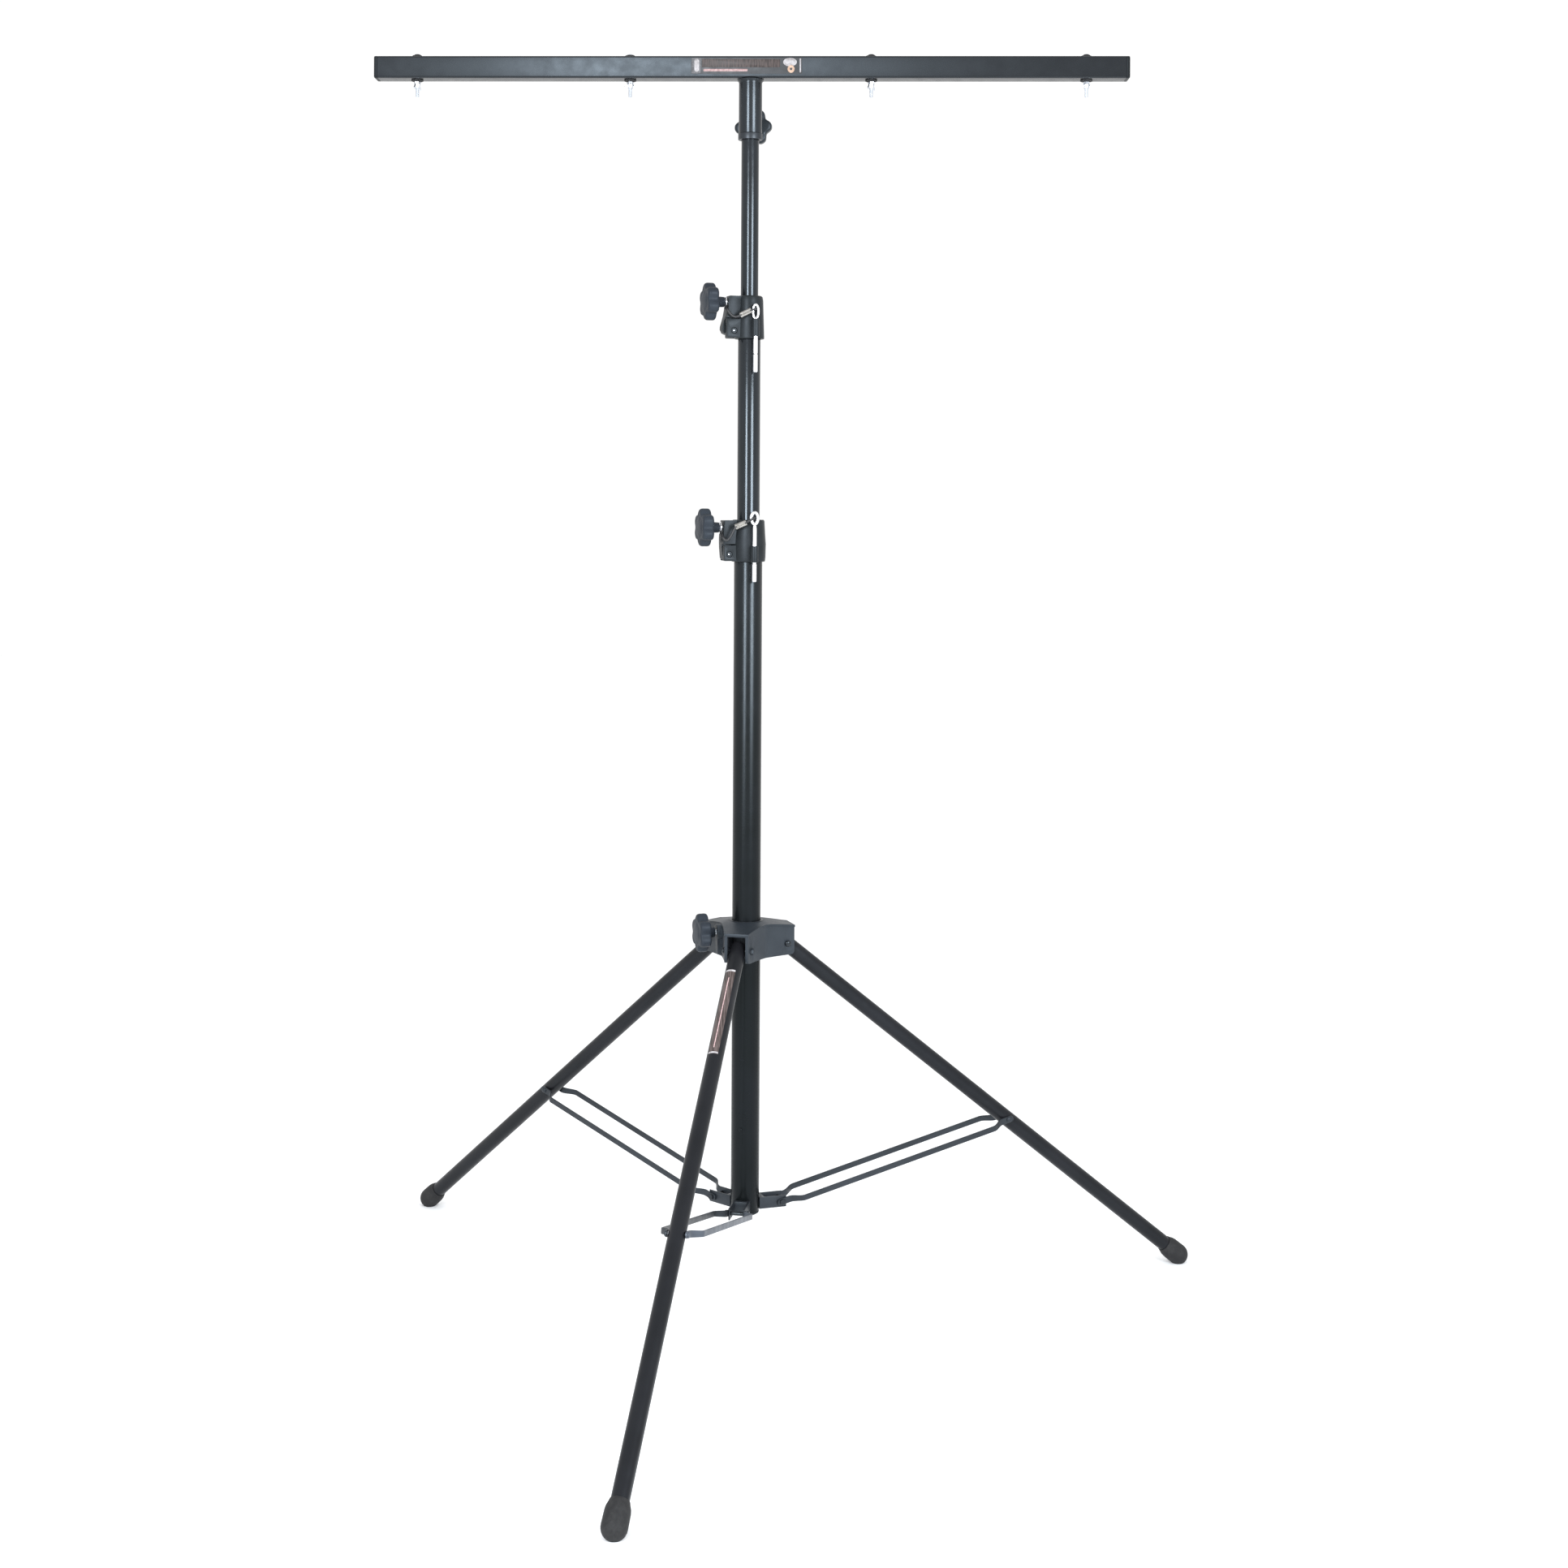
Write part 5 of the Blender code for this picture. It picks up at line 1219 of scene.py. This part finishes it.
def hub_seal():
    # painted shade: a dark sheet at the back and sides of each leg slot
    for leg, az in LEG_AZ.items():
        zl, hw = HUB_EDGE - PLATE_T, SLOT_HW
        shade_lining = raw(moved(box(0.0296, 0.0303, -hw + 0.0001, hw - 0.0001, HUB_Z0 + 0.0010,
                               zl + 0.0002), radial(az)), "hub_slot_painted_shade_lining_" + leg)
        boolean(shade_lining, moved(box(0.0296, 0.0700, -hw - 0.0003, -hw + 0.0004,
                                  HUB_Z0 + 0.0080, zl - 0.0010), radial(az)), "UNION")
        boolean(shade_lining, moved(box(0.0296, 0.0700, hw - 0.0004, hw + 0.0003,
                                  HUB_Z0 + 0.0080, zl - 0.0010), radial(az)), "UNION")
        boolean(shade_lining, moved(rod(0.0046, (PIV_R, -0.030, PIV_Z), (PIV_R, 0.030, PIV_Z), 32),
                              radial(az)), "DIFFERENCE")
        bake(shade_lining, 0.0001, 1, 40.0)
        piece(shade_lining, M_NYLON, "hub", smooth=30.0)
    bm = lathe(fillet([(MAIN_R + 0.0001, 0.6222), (MAIN_R + 0.0018, 0.6240),
                       (MAIN_R + 0.0046, 0.6240), (MAIN_R + 0.0042, 0.6244),
                       (MAIN_R + 0.0012, 0.6245), (MAIN_R + 0.0001, 0.6236)], 0.0002, 2, True),
               96, True)
    piece((bm, "hub_seal_ring"), M_NYLON, "hub", smooth=50.0)


tubes()
clevises()
LOWER = [(0.02265, 1.1931), (0.0268, 1.1931), (0.0276, 1.2000), (0.0281, 1.2210),
         (0.0268, 1.2400), (0.0258, 1.2575), (0.0246, 1.2597), (0.0181, 1.2597),
         (0.0181, 1.2384), (0.02265, 1.2384)]
UPPER = [(0.01815, 1.5472), (0.0235, 1.5472), (0.0238, 1.5490), (0.0220, 1.6080),
         (0.0210, 1.6138), (0.0192, 1.6156), (0.0141, 1.6156), (0.0141, 1.5989),
         (0.01815, 1.5989)]
collar("lower", "mast", LOWER, 0.0438, (1.1945, 1.2190), LO_BOLT, LO_KNOB_Z,
       LO_PIN_AZ, LO_PIN_RAD, (1.1925, 1.2185),
       [(0.0180, 1.2215), (0.0452, 1.2215), (0.0453, 1.2310), (0.0432, 1.2575),
        (0.0420, 1.2588), (0.0180, 1.2588)],
       [(0.0240, 1.1965), (0.0415, 1.1965), (0.0436, 1.1990), (0.0450, 1.2150),
        (0.0452, 1.2260), (0.0240, 1.2260)], 0.0181, 0.0025)
collar("upper", "mid", UPPER, 0.0415, (1.5484, 1.5782), UP_BOLT, UP_KNOB_Z,
       UP_PIN_AZ, UP_PIN_RAD, (1.5500, 1.5770),
       [(0.0150, 1.5797), (0.0414, 1.5797), (0.0388, 1.5940), (0.0384, 1.6100),
        (0.0362, 1.6146), (0.0150, 1.6146)],
       [(0.0200, 1.5535), (0.0380, 1.5535), (0.0430, 1.5558), (0.0458, 1.5615),
        (0.0455, 1.5665), (0.0405, 1.5840), (0.0200, 1.5840)], 0.0141, 0.0060)
knob("lower_knob", "knob_lower", KNOB_AZ, LO_KNOB_Z, 0.0184, 0.0497, 0.0632, 30.0)
knob("upper_knob", "knob_upper", KNOB_AZ, UP_KNOB_Z, 0.0144, 0.0427, 0.0567, -25.0)
knob("hub_knob", "knob_hub", KNOB_AZ, HUB_KNOB_Z, 0.0229, 0.0535, 0.0640, 33.0)
knob("socket_knob", "knob_socket", SOCKET_KNOB_AZ, SOCKET_KNOB_Z, 0.0146, 0.0290,
     0.0350, -3.0)
safety_pin("lower", LO_PIN_AZ, LO_PIN_RAD, LO_PIN_Z0, LO_PIN_EYE, 0.0051, 0.0089,
           0.0026)
safety_pin("upper", UP_PIN_AZ, UP_PIN_RAD, UP_PIN_Z0, UP_PIN_EYE, 0.0043, 0.0110,
           0.0019)
tether("lower", "mast", 0.0476, LO_KNOB_Z,
       [(-0.0400, -0.0330, 1.2330), (-0.0340, -0.0355, 1.2275),
        (-0.0280, -0.0350, 1.2320)],
       [(-0.0193, -0.0350, 1.2482), (-0.0021, -0.0368, 1.2556)],
       [(0.0035, -0.0382, 1.2590), (0.0080, -0.0380, 1.2612),
        (0.0104, -0.0345, 1.2623), (0.0106, -0.0288, 1.2623)])
tether("upper", "mid", 0.0406, UP_KNOB_Z,
       [(-0.0372, -0.0238, 1.5950), (-0.0340, -0.0285, 1.5915),
        (-0.0270, -0.0297, 1.5830), (-0.0205, -0.0297, 1.5805)],
       [(-0.0135, -0.0300, 1.5827), (0.0040, -0.0318, 1.5908)],
       [(0.0070, -0.0326, 1.5917), (0.0095, -0.0320, 1.5924),
        (0.0106, -0.0290, 1.5926), (0.0106, -0.0232, 1.5926)])
t_bar()
socket()
hub()
hub_seal()
legs()
braces()
labels()

def bar_panels():
    """Row of soft boxes that grades the front of the cross bar, and nothing else."""
    bar = [ob for ob in scene.objects if ob.type == "MESH"
           and (ob.name.startswith("cross_bar") or ob.name.startswith("bar_"))]
    only = bpy.data.collections.new("bar_light_receivers")
    others = bpy.data.collections.new("strip_light_receivers")
    for ob in bar:
        only.objects.link(ob)
        others.objects.link(ob)
    for item in others.collection_objects:
        item.light_linking.link_state = "EXCLUDE"
    for ob in scene.objects:
        if ob.type == "LIGHT" and ob.name.startswith("softbox_"):
            ob.light_linking.receiver_collection = others
    face, eye = MY - BAR_H / 2, scene.camera.location
    knots = ((-0.62, 0.0), (-0.471, 0.2), (-0.355, 3.2), (-0.205, 21.0), (-0.11, 10.0),
             (0.04, 5.5), (0.174, 3.2), (0.226, 0.7), (0.355, 0.0), (0.621, 0.0))
    steps = 18
    for k in range(steps):
        x = -0.62 + 1.24 * (k + 0.5) / steps
        for (a, va), (b, vb) in zip(knots[:-1], knots[1:]):
            if a <= x <= b:
                power = va + (vb - va) * (x - a) / (b - a)
        spots = []
        for e in (-0.62 + 1.24 * k / steps, -0.62 + 1.24 * (k + 1) / steps):
            t = (face - 3.0 - (2 * face - eye.y)) / (face - (2 * face - eye.y))
            spots.append((eye.x + (MX + e - eye.x) * t, eye.z + (BAR_ZC - eye.z) * t))
        light = bpy.data.lights.new("panel_%d" % k, "AREA")
        light.shape = "RECTANGLE"
        light.size, light.size_y = spots[1][0] - spots[0][0], 0.9
        light.energy = power * 1.15 * math.pi * light.size * light.size_y
        light.color = (0.86, 0.93, 1.0)
        ob = bpy.data.objects.new("panel_%d" % k, light)
        ob.location = ((spots[0][0] + spots[1][0]) / 2, face - 3.0, spots[0][1])
        ob.rotation_euler = (math.pi / 2, 0, 0)
        scene.collection.objects.link(ob)
        ob.light_linking.receiver_collection = only


bar_panels()
